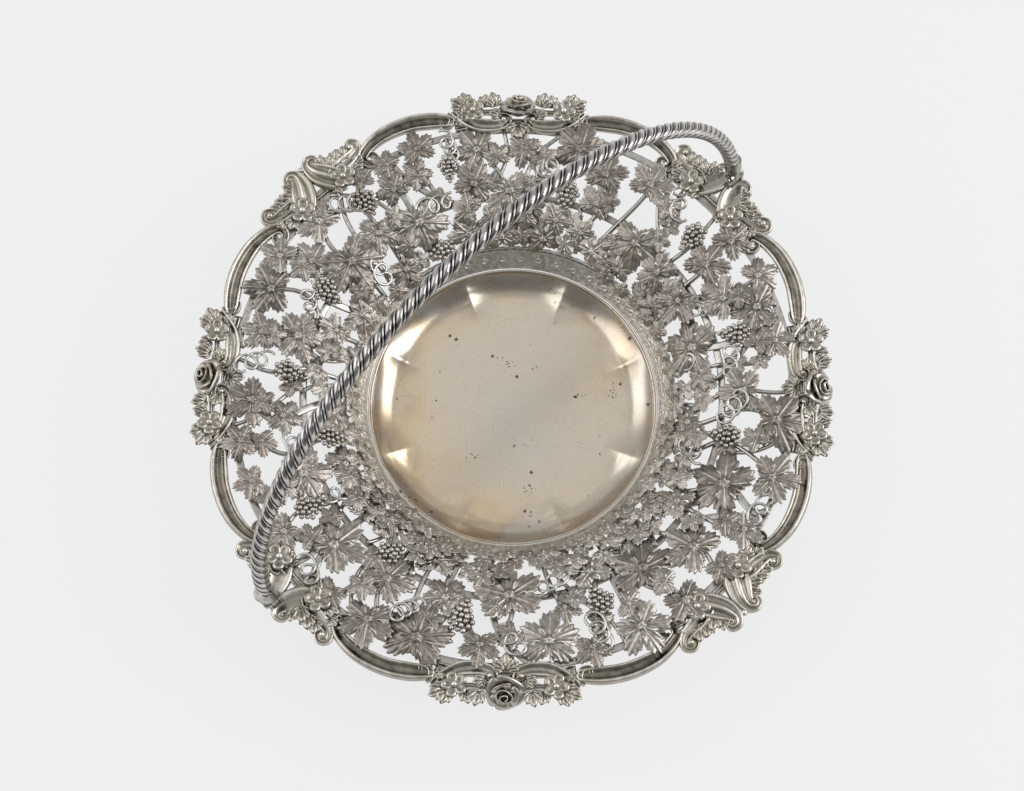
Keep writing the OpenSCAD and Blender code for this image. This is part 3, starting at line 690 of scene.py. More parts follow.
# %% Border band
STUDS = 51
STUD_STEPS = 16
BAND_ROWS = 30
q = np.linspace(0, 1, BAND_ROWS)[:, None]
a = np.linspace(0, 2 * np.pi, STUDS * STUD_STEPS, endpoint=False)[None]
relief = band_relief(np.mod(a * STUDS / (2 * np.pi), 1.0), q)
rise, reach = BAND_TOP_Z - LIP_Z, BAND_TOP_R - BAND_LOW_R
tilt = np.arctan2(rise, reach)
face_r = BAND_LOW_R + reach * q - np.sin(tilt) * relief
face_z = LIP_Z + rise * q + np.cos(tilt) * relief
behind_r = BAND_LOW_R + reach * q[::-6] + 0.8 + 0 * a
behind_z = LIP_Z + rise * q[::-6] - 0.6 + 0 * a
ring_r = np.concatenate([face_r, behind_r, face_r[:1]])
ring_z = np.concatenate([face_z, behind_z, face_z[:1]])
shade = 0.36 + 0.60 * relief
tone = np.clip(np.concatenate([shade, 0.4 + 0 * behind_r, shade[:1]]), 0, 1)
make_piece("border_band_stamped", [part(around_axis(ring_r, ring_z, a), tone)],
           band_silver, ["border_band"])

# %% [markdown]
# ### The wire on the band
# A twisted wire covers the raw upper edge of the band. Its strands could be wound one by one, as those of
# the handle are, but the wire is only two millimetres thick. So it is one tube, with three low swells that
# wind along it.

# %% Band wire
WIRE_MID_R = 76.05
WIRE_MID_Z = 30.48
WIRE_R = 1.05
WIRE_TURNS = 128
along = np.linspace(0, 2 * np.pi, 769)[:-1, None]
angle = np.linspace(0, 2 * np.pi, 12, endpoint=False)[None]
swell = 0.92 + 0.10 * np.cos(3 * angle + WIRE_TURNS * along)
wire = around_axis(WIRE_MID_R + WIRE_R * swell * np.cos(angle),
                   WIRE_MID_Z + WIRE_R * swell * np.sin(angle), along)
# The top of the wire is painted lighter and its underside darker: painted light and shade.
tone = np.clip(0.45 + 0.4 * np.sin(angle), 0, 1)
make_piece("band_wire_twist", [part(np.concatenate([wire, wire[:1]]), tone)],
           wire_silver, ["band_wire"])

# %% [markdown]
# ## Strap rings
# Two flat straps run round the wall, outside the stems. A box with bevelled edges would do for a straight
# strap. A ring is simpler as a turned outline, and a squared-off ellipse gives it the slightly rounded
# edges that catch the light.

# %% Strap rings
STRAP_W = 3.4
STRAP_T = 1.2
STEM_R = 1.1


def strap_outline(steps=16, square=0.45):
    """A squared-off ellipse: sine and cosine raised to a power under one, signs kept."""
    a = np.linspace(0, 2 * np.pi, steps, endpoint=False)
    c, s = np.cos(a), np.sin(a)
    return np.stack([np.sign(c) * np.abs(c) ** square, np.sign(s) * np.abs(s) ** square], -1)


def strap_ring(r):
    """A strap with its face along the wall, just outside the stems."""
    slope = wall_slope(r)
    outline = strap_outline() * [STRAP_W / 2, STRAP_T / 2]
    lift = -STEM_R - 0.1 - STRAP_T / 2
    ring_r = r + outline[:, 0] * np.cos(slope) - (lift + outline[:, 1]) * np.sin(slope)
    ring_z = wall_z(r) + outline[:, 0] * np.sin(slope) + (lift + outline[:, 1]) * np.cos(slope)
    # The strap is painted lighter on the face towards the basket and darker on its outer face: painted light
    # and shade.
    return revolve(np.stack([ring_r, ring_z], -1), 288, 0.5 + 0.25 * outline[:, 1])


make_piece("mid_strap", [strap_ring(MID_RING_R)], wire_silver, ["mid_ring"])
make_piece("top_strap", [strap_ring(TOP_RING_R)], wire_silver, ["top_ring"])

# %% [markdown]
# ## The vine
# The wall is a thicket of leaves, grapes and tendrils that grow on some forty stems. They could be scattered
# at random, but the photograph shows where each one is. So one list, the same as in the CAD source, says
# where everything grows, branch by branch round the basket, and every ornament lands on the stem that
# carries it. A row is [bearing in degrees, distance from the axis, half size, turn, kind]: L a leaf, G
# grapes, T a tendril.

# %% Layout
L, G, T = 0, 1, 2
BRANCHES = [
    [[11, 82, 6, 0, T], [4, 90, 7, 200, L], [8, 102, 6.5, 0, T], [7, 114, 5, -60, L],
     [10.5, 122, 8.5, 0, L]],
    [[15, 88, 14, 150, L], [14.5, 106, 8, 160, G], [19, 119, 12, 170, L]],
    [[30, 81, 6, 30, L], [30, 91, 11, 200, L], [24.5, 97, 6, 0, T], [24, 107, 10.5, 120, L],
     [25.5, 125, 9, 0, L]],
    [[34, 108, 11, 20, L], [35, 123, 9.5, 10, L]],
    [[40, 81, 8, -20, L], [41, 91, 10, 90, L], [41.5, 111, 8, 180, G]],
    [[52, 81, 7, 10, L], [52, 94, 13, 200, L], [48, 108, 6, -30, L], [50, 119, 7, 0, T]],
    [[63, 82, 9.5, -30, L], [57.5, 118, 10.5, 0, L]],
    [[68.5, 87, 7, 40, L], [67.5, 100, 9, -10, L], [68, 113, 10.5, 0, L]],
    [[80.5, 81, 10, 20, L], [77.5, 89, 8, -30, L], [76, 99, 8, 180, G], [75.5, 121, 13, 60, L]],
    [[85, 92, 6, 0, L], [83.5, 108, 7, 0, T], [88.5, 118, 9, 170, L]],
    [[95, 81, 9, 0, L], [92, 99, 12, 190, L], [99.5, 118, 11, 30, L]],
    [[106, 84, 10, 160, L], [104.5, 93, 8, 60, L], [101.5, 103, 10.5, -30, L], [107, 112, 7, 170, G],
     [105.5, 121, 6, 0, T]],
    [[117, 81, 8, 90, G], [112.5, 99, 7, 0, T], [115, 114, 7.5, -40, L], [112.5, 125, 9, 0, L]],
    [[119.5, 95, 14, 180, L], [121.5, 112, 8.5, 20, L], [120, 124, 7, 40, L]],
    [[130.5, 82, 10, 190, L], [131, 100, 10.5, 150, L], [129, 114, 7.5, 180, G], [126.5, 123, 6, 0, L]],
    [[137.5, 89, 7, 0, T], [133, 119, 7.5, 0, T]],
    [[142, 99, 15, 170, L], [140, 121, 11, 10, L]],
    [[152.5, 83, 11, 200, L], [153, 99, 8, 170, G], [148.5, 112, 9.5, -20, L], [151.5, 125, 9, 0, L]],
    [[161.5, 89, 8.5, 60, L], [157.5, 104, 6.5, 0, T], [159, 121, 12, 20, L]],
    [[167.5, 103, 12.5, 190, L], [169, 118, 9, 0, L]],
    [[175.5, 92, 7.5, 30, L], [177.5, 103, 8, 180, G], [176, 119, 7, 0, T]],
    [[184.5, 82.5, 7, 10, L], [189, 106, 8.5, 160, L], [185, 118.5, 11.5, 30, L]],
    [[196, 87.5, 8, 170, G], [198, 103.5, 6.5, 0, T], [194.5, 116.5, 7, 90, L], [194, 125, 8.5, 0, L]],
    [[205.5, 85.5, 10, 190, L], [205, 103.5, 12.5, 170, L], [207, 119.5, 7, 60, L], [203, 125, 8, 0, L]],
    [[213.5, 93, 7, 0, T], [213.5, 107, 8, 180, G], [215.5, 122, 9.5, 10, L]],
    [[222, 87.5, 10, 200, L], [224.5, 109, 14, 180, L], [226, 124.5, 6.5, 0, T]],
    [[232, 85.5, 9, 30, L], [236, 94.5, 8, 160, G], [231.5, 124.5, 8, 0, L]],
    [[239.5, 105.5, 12, 170, L], [241, 124.5, 12, 20, L]],
    [[248, 88, 10, 190, L], [247, 113, 6.5, 0, T], [251.5, 123, 15, 180, L]],
    [[254.5, 102.5, 11, 160, L], [259.5, 108.5, 8.5, 175, G], [264.5, 119.5, 9, 0, L]],
    [[270.5, 97.5, 15, 190, L], [271, 117.5, 7, 0, T]],
    [[281, 93.5, 7, 0, T], [284, 104.5, 7, 60, L], [279, 118.5, 13, 170, L]],
    [[293.5, 93, 10, 180, L], [292.5, 106, 8, 190, G], [290, 119, 7, 0, T], [287.5, 124.5, 8.5, 0, L]],
    [[300, 89, 7, 0, L], [298, 113, 7, 60, L], [298, 124.5, 12, 10, L]],
    [[306, 87.5, 6.5, 20, L], [305.5, 103.5, 15, 150, L], [308.5, 124.5, 10, 0, L]],
    [[315, 90, 6, 0, L], [318, 110.5, 13, 190, L], [318.5, 124.5, 7.5, 0, L]],
    [[322, 84.5, 8, -20, L], [325.5, 93, 9, 180, L], [327.5, 123, 8.5, 0, L]],
    [[335, 106.5, 15, 170, L], [333, 124.5, 6.5, 0, T]],
    [[342, 87.5, 6.5, 0, T], [347.5, 100, 8, 180, G], [340, 124, 11.5, 10, L]],
    [[351, 84, 10, 200, L], [355, 101.5, 7, 0, T], [352.5, 120.5, 14, 0, L]],
    [[358, 88, 6, 0, L], [359.5, 106, 11, 180, L]],
]
items = np.array([row for branch in BRANCHES for row in branch], float)
print(len(BRANCHES), "branches carry", len(items), "ornaments")

# %% [markdown]
# ### Stems
# A stem is a wire that was bent by hand, so it runs in a smooth curve through the feet of its leaves. Bezier
# handles could be set for each bend. A Catmull-Rom curve needs none: every span is a cubic whose ends and
# directions its neighbours give. Some stems are flat straps, and short ones lie aslant between the rings.

# %% Curves on the wall


def smooth_path(knots, steps=10):
    """Catmull-Rom curve through knots, as a (points, dimensions) array: between b and c it is the cubic that
    passes through both, in the directions from a to c and from b to d."""
    k = np.concatenate([knots[:1], knots, knots[-1:]])
    a, b, c, d = (k[i:len(k) - 3 + i, None] for i in range(4))
    t = np.linspace(0, 1, steps, endpoint=False)[None, :, None]
    curve = 0.5 * (2 * b + (c - a) * t + (2 * a - 5 * b + 4 * c - d) * t ** 2
                   + (3 * b - a - 3 * c + d) * t ** 3)
    return np.concatenate([curve.reshape(-1, knots.shape[1]), knots[-1:]])


def wall_path(flat, lift=0.0):
    """Points and wall normals at [bearing, radius] rows."""
    b, r = np.radians(flat[:, 0]), flat[:, 1]
    slope = wall_slope(r)
    up = np.stack([-np.cos(b) * np.sin(slope), -np.sin(b) * np.sin(slope), np.cos(slope)], -1)
    return np.stack([r * np.cos(b), r * np.sin(b), wall_z(r)], -1) + up * lift, up


print("a path of 3 knots has", len(smooth_path(np.eye(3))), "points")

# %% Stems and aslant straps
STEM_IN_R = 78.25
STEM_SWAY = 1.3
SLANT_BOW = 2.2
STRAP = strap_outline(14, 0.55)
DIAGONALS = [
    [6, 100, 15, 126], [27, 98, 20, 126], [46, 97, 56, 127], [63, 99, 73, 127], [88, 98, 80, 127],
    [97, 99, 93, 126], [110, 97, 119, 126], [124, 98, 134, 127], [146, 98, 155, 126], [165, 98, 173, 126],
    [180, 98, 190, 127], [201, 98, 211, 126], [218, 99, 222, 127], [233, 98, 238, 127],
    [257, 99, 249, 126], [266, 98, 275, 127], [286, 98, 294, 127], [302, 98, 312, 126],
    [322, 99, 331, 127], [344, 98, 350, 126], [2, 79, 8, 97], [34, 79, 37, 97], [58, 79, 56, 97],
    [73, 79, 72, 97], [88, 79, 86, 97], [99, 79, 98, 97], [125, 79, 126, 97], [146, 79, 147, 97],
    [168, 79, 170, 97], [180, 79, 182, 97], [191, 79, 192, 97], [217, 79, 218, 97], [228, 79, 229, 97],
    [242, 79, 244, 97], [262, 79, 263, 97], [287, 79, 287, 97], [311, 79, 312, 97], [331, 79, 332, 97],
    [347, 79, 346, 97],
]


def stem_part(branch, i):
    """The wire of one branch, bent from side to side and thinner upward; every fourth is a flat strap."""
    rows = np.array(branch, float)
    knots = np.concatenate([[[rows[0, 0], STEM_IN_R]], rows[:, :2], [[rows[-1, 0], TOP_RING_R]]])
    flat = smooth_path(knots)
    t = np.linspace(0, 1, len(flat))
    flat[:, 0] += STEM_SWAY * np.sin(np.pi * t) * np.sin(3 * np.pi * t + i)
    path, up = wall_path(flat)
    taper = 1.15 - 0.2 * t
    if i % 4 == 1:
        return sweep(path, up, STRAP, 1.6 * taper, 0.65)
    return sweep(path, up, ROUND, STEM_R * taper, STEM_R * taper)


def diagonal_part(row, i):
    """A short wire or strap laid aslant between two rings, with a slight bow."""
    t = np.linspace(0, 1, 14)[:, None]
    flat = np.array([row[:2]]) * (1 - t) + np.array([row[2:]]) * t
    flat[:, 0] += SLANT_BOW * np.sin(np.pi * t[:, 0]) * (-1) ** i
    path, up = wall_path(flat, -0.2)
    return sweep(path, up, STRAP, 1.5, 0.6) if i % 3 == 0 else sweep(path, up, ROUND, 1.0, 0.9)


for sector in range(8):
    parts = [stem_part(branch, i) for i, branch in enumerate(BRANCHES) if int(branch[0][0] // 45) == sector]
    parts += [diagonal_part(row, i) for i, row in enumerate(DIAGONALS) if int(row[0] // 45) == sector]
    make_piece(f"vine_stems_{sector + 1}", parts, wire_silver, [f"stems_{sector + 1}"])

# %% [markdown]
# ### Leaves
# Each leaf was cut from sheet, chased from behind and bent, and a tubular pin holds it. One leaf could be
# sculpted and copied, but then all would be the same. In polar form the outline is five humps with teeth.
# The face is a grid of angle and reach. Its relief adds five main veins, slanting side veins, a puff at each
# sinus and the pin, and later each leaf gets its own fold, curl and tilt.

# %% Leaf shape
LOBES = [(0.0, 1.0), (62.0, 0.97), (-62.0, 0.97), (123.0, 0.84), (-123.0, 0.84)]
LOBE_HALF = 31.0
SINUS = 0.60
TOOTH = 12.4


def leaf_template(rings, around):
    """Unit leaf on a (rings, around) grid: x, y, ring share, angle, relief and tone. The outline is the
    depth of the sinus plus five humps, each 1 - |offset|^1.9 about its vein, cut into sharp teeth."""
    a = np.linspace(-180, 180, around, endpoint=False)
    off = np.array([np.abs((a - mid + 180) % 360 - 180) for mid, _ in LOBES])
    humps = [np.clip(1 - (o / LOBE_HALF) ** 1.9, 0, 1) * (tip - SINUS) for o, (_, tip) in zip(off, LOBES)]
    notch = 0.22 * np.clip((np.abs(a) - 150) / 30, 0, 1)
    teeth = 1 - 2 * np.abs((off.min(0) / TOOTH + 0.5) % 1.0 - 0.5)
    reach = (SINUS + np.max(humps, axis=0) - notch) * (1 + 0.15 * (teeth - 0.6))
    s = np.linspace(0, 1, rings)[:, None] ** 0.85
    x, y = s * reach * np.cos(np.radians(a)), s * reach * np.sin(np.radians(a))
    vein, ribs, nearest = np.zeros_like(x), np.zeros_like(x), np.full_like(x, 999.0)
    for (mid, _), o in zip(LOBES, off):
        c, d = np.cos(np.radians(mid)), np.sin(np.radians(mid))
        along, across = x * c + y * d, np.abs(y * c - x * d)
        vein = np.maximum(vein, np.exp(-(across / 0.026) ** 2) * (along > -0.02))
        rib = np.exp(-((((along - 0.8 * across) / 0.2) % 1.0 - 0.5) / 0.15) ** 2)
        ribs = np.where(o[None] < nearest, rib * np.clip(across / 0.07, 0, 1), ribs)
        nearest = np.minimum(nearest, o[None] + 0 * x)
    from_pin = np.hypot(x, y)
    puff = np.exp(-((nearest - LOBE_HALF) / 8.0) ** 2) * np.exp(-((from_pin - 0.38) / 0.11) ** 2)
    pin = np.exp(-((from_pin - 0.075) / 0.035) ** 2)
    dome = np.cos(np.pi / 2 * np.clip(nearest / LOBE_HALF, 0, 1)) * s ** 2
    relief = 0.03 * vein + 0.016 * ribs + 0.12 * puff + 0.11 * pin + 0.03 * dome
    # The tone paints highlights on the puffs, the pin and the veins, and painted shade in a ring round the
    # pin and in its middle; the rim and the ribs are a little lighter.
    tone = 0.38 + 0.28 * vein + 0.10 * ribs + 0.42 * puff + 0.45 * pin + 0.20 * (s > 0.92)
    tone = tone - 0.24 * np.exp(-((from_pin - 0.17) / 0.06) ** 2) - 0.3 * np.exp(-(from_pin / 0.04) ** 2)
    return x, y, s + 0 * x, np.radians(a)[None] + 0 * x, relief, np.clip(tone, 0, 1)


LARGE_LEAF, SMALL_LEAF = leaf_template(17, 150), leaf_template(10, 120)
print("leaf grids", LARGE_LEAF[0].shape, SMALL_LEAF[0].shape)

# %% [markdown]
# ### Leaves in layers
# Neighbouring leaves overlap, as on a real vine. A simulation could stack them. It is quicker to give each
# one the lowest layer that is still free where it grows, which needs a look at the leaves placed before it,
# one leaf at a time. Small leaves, on a coarser grid, also sit on the aslant straps and at the feet of the
# southern stems, and a hem of them hangs over the band, all round but for the north side.

# %% Rows of small leaves
HEM_R = 76.8
HEM_STEP = 7.3
GOLDEN_TURN = 137.5


def small_leaves(bearing, r, size, turned):
    """Rows of [bearing, radius, half size, turn, 1] from values that may each be one number or many."""
    return np.stack(np.broadcast_arrays(bearing, r, size, turned % 360, 1.0), -1)


aslant = np.array(DIAGONALS, float)
turned = np.arange(len(aslant)) * GOLDEN_TURN % 360
small = [small_leaves(aslant[:, 0] * (1 - t) + aslant[:, 2] * t, aslant[:, 1] * (1 - t) + aslant[:, 3] * t,
                      size, turned + 90 * t) for t, size in ((0.12, 6.4), (0.55, 7.4))]
feet = np.array([branch[0][0] for branch in BRANCHES if 190 < branch[0][0] < 350], float)
lean = 3.2 * (-1.0) ** np.arange(len(feet))
small += [small_leaves(feet + side * lean, r, size, feet + turn)
          for side, r, size, turn in ((0.3, 80.8, 5.6, 70.0), (-1.0, 87.0, 6.4, 200.0))]
hem = np.arange(130.0, 422.0, HEM_STEP)
odd = np.arange(len(hem)) % 2
small.append(small_leaves(hem % 360, HEM_R + 1.4 * odd, 5.2 + 0.8 * odd, hem * GOLDEN_TURN))
print("small leaves in each row:", [len(rows) for rows in small])

# %% Placing leaves
VINE_LIFT = 1.8
LAYER_STEP = 1.3
CROWD = 0.62
# Ranges of a leaf's fold, curl, wave, place of the wave round the edge, and tilt in two directions.
BENDS = ((-0.08, 0.14), (-0.04, 0.20), (0.02, 0.06), (0, 6.3), (-0.09, 0.09), (-0.09, 0.09))
rng = np.random.default_rng(7)


def leaf_layers(rows):
    """Layer of each leaf: the lowest in which no earlier leaf comes nearer than CROWD times both sizes."""
    spots = rows[:, 1:2] * np.stack([np.cos(np.radians(rows[:, 0])), np.sin(np.radians(rows[:, 0]))], -1)
    layers = np.zeros(len(rows), int)
    for i in range(len(rows)):
        near = np.linalg.norm(spots[:i] - spots[i], axis=1) < CROWD * (rows[:i, 2] + rows[i, 2])
        layers[i] = min(set(range(9)) - set(layers[:i][near]))
    return layers


def leaf_parts(rows, layer, shade, template):
    """Leaves at their places: face and back as closed grids, each with its own bend. The bend is a dome, a
    fold along the main vein, a curl that grows outward, a wave round the edge and a tilt."""
    leaf_x, leaf_y, leaf_s, leaf_a, leaf_relief, leaf_tone = template
    n = len(rows)
    drawn = [rng.uniform(low, high, n)[:, None, None] for low, high in BENDS]
    fold, curl, wave, phase, tilt_x, tilt_y = drawn
    x, y, s = leaf_x[None] + 0 * fold, leaf_y[None] + 0 * fold, leaf_s[None]
    bend = (0.10 * (1 - s ** 2) + fold * np.abs(y) - curl * (x ** 2 + y ** 2) ** 1.5
            + wave * s ** 2 * np.sin(5 * leaf_a[None] + phase) + tilt_x * x + tilt_y * y)
    face, behind = bend + leaf_relief[None], bend - 0.05
    back_rings = [len(leaf_x) - 1, len(leaf_x) // 2, 0]
    x, y = (np.concatenate([v, v[:, back_rings]], 1) for v in (x, y))
    z = np.concatenate([face, behind[:, back_rings]], 1)
    local = np.stack([x, y, z], -1) * rows[:, 2, None, None, None]
    turned = turn_flat(local, np.radians(rows[:, 3])[:, None, None])
    # The back of each leaf is painted darker than its face: painted shade.
    tone = np.concatenate([leaf_tone, np.full((3, leaf_x.shape[1]), 0.3)])[None] + shade[:, None, None]
    placed = to_wall(turned, rows[:, 0], rows[:, 1], VINE_LIFT + LAYER_STEP * layer)
    return many(placed, np.clip(tone, 0, 1))


print("each leaf draws", len(BENDS), "bends")

# %% Leaves
LEAF_FULL = 1.12
leaves = np.concatenate([items[items[:, 4] == L] * [1, 1, LEAF_FULL, 1, 1], *small])
leaf_layer = leaf_layers(leaves)
leaf_shade = rng.uniform(-0.12, 0.12, len(leaves)) + 0.14 * np.clip((98 - leaves[:, 1]) / 12, 0, 1)
for sector in range(8):
    parts = []
    for kind, template in enumerate((LARGE_LEAF, SMALL_LEAF)):
        here = ((leaves[:, 0] // 45).astype(int) == sector) & (leaves[:, 4] == kind)
        parts.append(leaf_parts(leaves[here], leaf_layer[here], leaf_shade[here], template))
    make_piece(f"vine_leaves_{sector + 1}", parts, leaf_silver, [f"leaves_{sector + 1}"])

# %% [markdown]
# ### Grapes
# A bunch is a heap of small balls, wide at the stalk and narrow at the tip. Particles could make the heap,
# but its shape would be hard to steer. So one ball of few faces is copied to centres laid out in rows, with
# a second layer in the dimples of the first. A row is (place along the bunch, number of balls).

# %% Grapes
ROWS = [(-0.78, 3), (-0.50, 4), (-0.22, 5), (0.06, 4), (0.34, 3), (0.62, 2), (0.88, 1)]
UPPER = [(-0.64, 2), (-0.36, 3), (-0.08, 3), (0.20, 2), (0.48, 1)]
BALL_PITCH = 0.31
around, down = np.meshgrid(np.linspace(0, 2 * np.pi, 10, endpoint=False), np.linspace(0, np.pi, 8))
BALL = np.stack([np.sin(down) * np.cos(around), np.sin(down) * np.sin(around), np.cos(down)], -1)


def heap(rows, height):
    """Ball centres in unit sizes: rows of balls across the bunch, at one height."""
    made = []
    for x, n in rows:
        across = (np.arange(n) - (n - 1) / 2) * BALL_PITCH
        made.append(np.stack(np.broadcast_arrays(x, across, height), -1))
    return np.concatenate(made)


centres = np.concatenate([heap(ROWS, 0.12), heap(UPPER, 0.34)])


def bunch_part(row):
    """One bunch: balls at jittered centres, turned along the branch and set on the wall."""
    spots = centres * row[2] + rng.uniform(-0.16, 0.16, centres.shape)
    size = 0.155 * row[2] * rng.uniform(0.9, 1.12, len(spots))
    balls = turn_flat(spots[:, None, None] + BALL[None] * size[:, None, None, None], np.radians(row[3]))
    shade = rng.uniform(-0.08, 0.08, len(spots))[:, None, None]
    # Each grape is painted lighter on top and darker underneath: a painted highlight and painted shade.
    # shade adds a random difference between grapes.
    tone = np.clip(0.28 + 0.55 * BALL[..., 2], 0.05, 1)[None] + shade
    flat = to_wall(balls.reshape(-1, 3), row[0], row[1], VINE_LIFT + 0.4)
    return many(flat.reshape(balls.shape), np.clip(tone, 0, 1))


bunches = items[items[:, 4] == G]
for quarter in range(4):
    parts = [bunch_part(row) for row in bunches if int(row[0] // 90) == quarter]
    make_piece(f"grape_bunches_{quarter + 1}", parts, leaf_silver, [f"grapes_{quarter + 1}"])

# %% [markdown]
# ### Tendrils
# A tendril is thin wire wound like a slack spring and pressed flat, so its loops lie side by side. A Screw
# modifier gives an even spring, but these are wound by hand. The path is a circle whose centre drifts while
# it turns, with a number of loops and a direction of its own.

# %% Tendrils
LOOPS = (2.3, 2.8, 3.3)
TENDRIL_R = 0.70


def tendril_part(row, i):
    """Two to three loops of wire drifting along the wall, each a little wider than the one before."""
    t = np.linspace(0, 1, 84)
    turned = 2 * np.pi * LOOPS[i % 3] * t + i
    r = row[2] * (0.44 + 0.14 * t)
    drift = (t - 0.5) * row[2] * 2.0
    way = 1.3 * i
    local = np.stack([drift * np.cos(way) + r * np.cos(turned), drift * np.sin(way) + r * np.sin(turned),
                      1.1 + 1.6 * t + 0.5 * np.sin(turned)], -1)
    path = to_wall(local, row[0], row[1], STEM_R * 0.6)
    up = unit(to_wall(local + [0, 0, 1], row[0], row[1], STEM_R * 0.6) - path)
    # The wire is painted lighter on the side away from the wall and darker against it: painted light and
    # shade.
    return sweep(path, up, ROUND, TENDRIL_R, TENDRIL_R, 0.45 + 0.4 * ROUND[:, 1])


curls = items[items[:, 4] == T]
for quarter in range(4):
    parts = [tendril_part(row, i) for i, row in enumerate(curls) if int(row[0] // 90) == quarter]
    make_piece(f"vine_tendrils_{quarter + 1}", parts, wire_silver,
               [f"tendrils_{quarter + 1}"])

# %% [markdown]
# ## Scrolls
# The rim's scrolls are cast mouldings. They could be sculpted from a block, but a moulding is a section
# carried along a line, and that is quicker to draw and to change. The line is drawn as a penman would, by a
# few points that a smooth curve joins, and its width swells and tapers along the way. The points are in the
# rim's own frame: x away from the basket, from the rail's inner edge, and y along the rim. A row of a
# section is [across, up, tone], from the basket's side outward. A hollow has unlike ridges. A channel and a
# fluted section are alike on both sides, so half of each is written. The plain rail behind a mount is a
# channel too.

# %% Sections
# A section's tone is dark in its hollow, where tarnish stays, and also painted: light on the crests as a
# painted highlight, dark on the low flanks and the underside as painted shade.
UNDERSIDE = [0.00, -0.12, 0.15]


def mirrored(half, middle=()):
    """A section from its left half: the half, any rows in the middle, the mirror image and the underside."""
    rows = np.array(half)
    return np.concatenate([rows, np.reshape(middle, (-1, 3)), rows[::-1] * [-1, 1, 1], [UNDERSIDE]])


HOLLOW = np.array([
    [-0.50, 0.00, 0.20], [-0.55, 0.40, 0.35], [-0.52, 0.74, 0.55], [-0.44, 0.90, 0.92],
    [-0.36, 0.84, 0.70], [-0.30, 0.62, 0.28], [-0.14, 0.50, 0.16], [0.06, 0.50, 0.18],
    [0.17, 0.62, 0.30], [0.25, 0.84, 0.60], [0.36, 1.00, 0.85], [0.46, 0.95, 0.70],
    [0.54, 0.68, 0.45], [0.56, 0.30, 0.30], [0.50, 0.00, 0.20], UNDERSIDE,
])
CHANNEL = mirrored([
    [-0.50, 0.00, 0.20], [-0.55, 0.45, 0.35], [-0.50, 0.84, 0.60], [-0.42, 0.98, 0.92],
    [-0.32, 0.93, 0.75], [-0.20, 0.66, 0.50],
], [0.00, 0.56, 0.46])
FLUTED = mirrored([
    [-0.50, 0.00, 0.20], [-0.55, 0.40, 0.35], [-0.52, 0.72, 0.60], [-0.43, 0.88, 0.92],
    [-0.33, 0.80, 0.60], [-0.23, 0.62, 0.30], [-0.13, 0.78, 0.55], [-0.05, 0.98, 0.88],
])
print("points of the sections:", len(HOLLOW), len(CHANNEL), len(FLUTED))

# %% Scrolls on the rim
RAIL_IN_R = 129.5
RIM_DROP = 2.4
SCROLL_STEPS = 9
SCROLL_SLIM = 0.5


def scroll_part(line, section, bearing, height, side):
    """A section along a smooth curve through rows of [x, y, width]; side -1 gives its mirror image.
    The height follows the width, so a scroll sinks as it narrows."""
    curve = smooth_path(np.array(line, float) * [1, side, 1], SCROLL_STEPS)
    width = np.maximum(curve[:, 2], SCROLL_SLIM)
    flat = np.stack([curve[:, 0], curve[:, 1], 0 * width], -1)
    path = to_wall(flat, bearing, RAIL_IN_R, -RIM_DROP)
    up = unit(to_wall(flat + [0, 0, 1], bearing, RAIL_IN_R, -RIM_DROP) - path)
    tall = height * (0.55 + 0.45 * width / width.max())
    return sweep(path, up, section[:, :2] * [-side, 1], width, tall, section[:, 2])


print("the rail's inner edge lies at", wall_z(RAIL_IN_R).round(1), "mm")

# %% Rails behind the mounts
RAIL_MID_R = 131.0
RAIL_W = 3.4
RAIL_H = 2.6
RAIL_STEPS = 48


def rail_part(half, bearing):
    """The plain rail behind a mount: a channel bent along the top strap, half degrees to each side."""
    b = bearing + np.linspace(-half, half, RAIL_STEPS)
    path, up = wall_path(np.stack([b, np.full(RAIL_STEPS, RAIL_MID_R)], -1), -RIM_DROP)
    return sweep(path, up, CHANNEL[:, :2], RAIL_W, RAIL_H, CHANNEL[:, 2])


print("rails run at a radius of", RAIL_MID_R, "mm")

# %% [markdown]
# ### Arches
# Eight arches join the mounts. Each leaves a rose mount, bows outward as a deep hollow between a thin inner
# and a broad outer ridge, and ends at the shell mount in a large volute. One could be modelled and mirrored
# as an object, but a mirrored object is inside out. So the line is mirrored before it is swept. A row of a
# line is [x, y, width].

# %% Rim arches
ARCH_MID = 23.55
ARCH = [[2.2, -24.6, 2.2], [3.8, -21.4, 5.6], [6.6, -14.4, 7.2], [8.8, -6.0, 7.2], [9.4, 2.0, 7.0],
        [8.8, 9.5, 6.6], [7.0, 15.8, 6.0], [4.4, 20.8, 5.4], [1.4, 23.4, 4.6], [-1.8, 22.4, 4.0],
        [-2.8, 19.2, 3.4], [-0.8, 17.0, 2.9], [1.6, 18.0, 2.4], [1.6, 20.0, 2.0]]
ARCH_CURL = [[7.4, -22.5, 1.8], [4.6, -23.4, 2.4], [1.4, -21.4, 2.6], [1.8, -17.8, 2.2], [4.2, -18.2, 1.6]]
ARCH_H = 4.6
ARCH_CURL_H = 3.8
for n in range(8):
    side = 1 if n % 2 == 0 else -1
    bearing = 45 * n + ARCH_MID if side > 0 else 45 * (n + 1) - ARCH_MID
    parts = [scroll_part(ARCH, HOLLOW, bearing, ARCH_H, side),
             scroll_part(ARCH_CURL, CHANNEL, bearing, ARCH_CURL_H, side)]
    make_piece(f"rim_arch_{n + 1}", parts, cast_silver, [f"rim_scroll_{n + 1}"])

# %% [markdown]
# ## Flowers, roses and cast leaves
# The rim's flowers are thick castings. A flat petal with a Solidify modifier would look like sheet, so a
# petal is a pillow: a disc of rings with a domed face and a dimple. A rose has a bud, one thick sheet wound
# outward in a spiral, inside two rings of petals, and a leaf is a fan of five lobes. Each is made lying at
# the origin, then turned and set on the rim.

# %% Petals


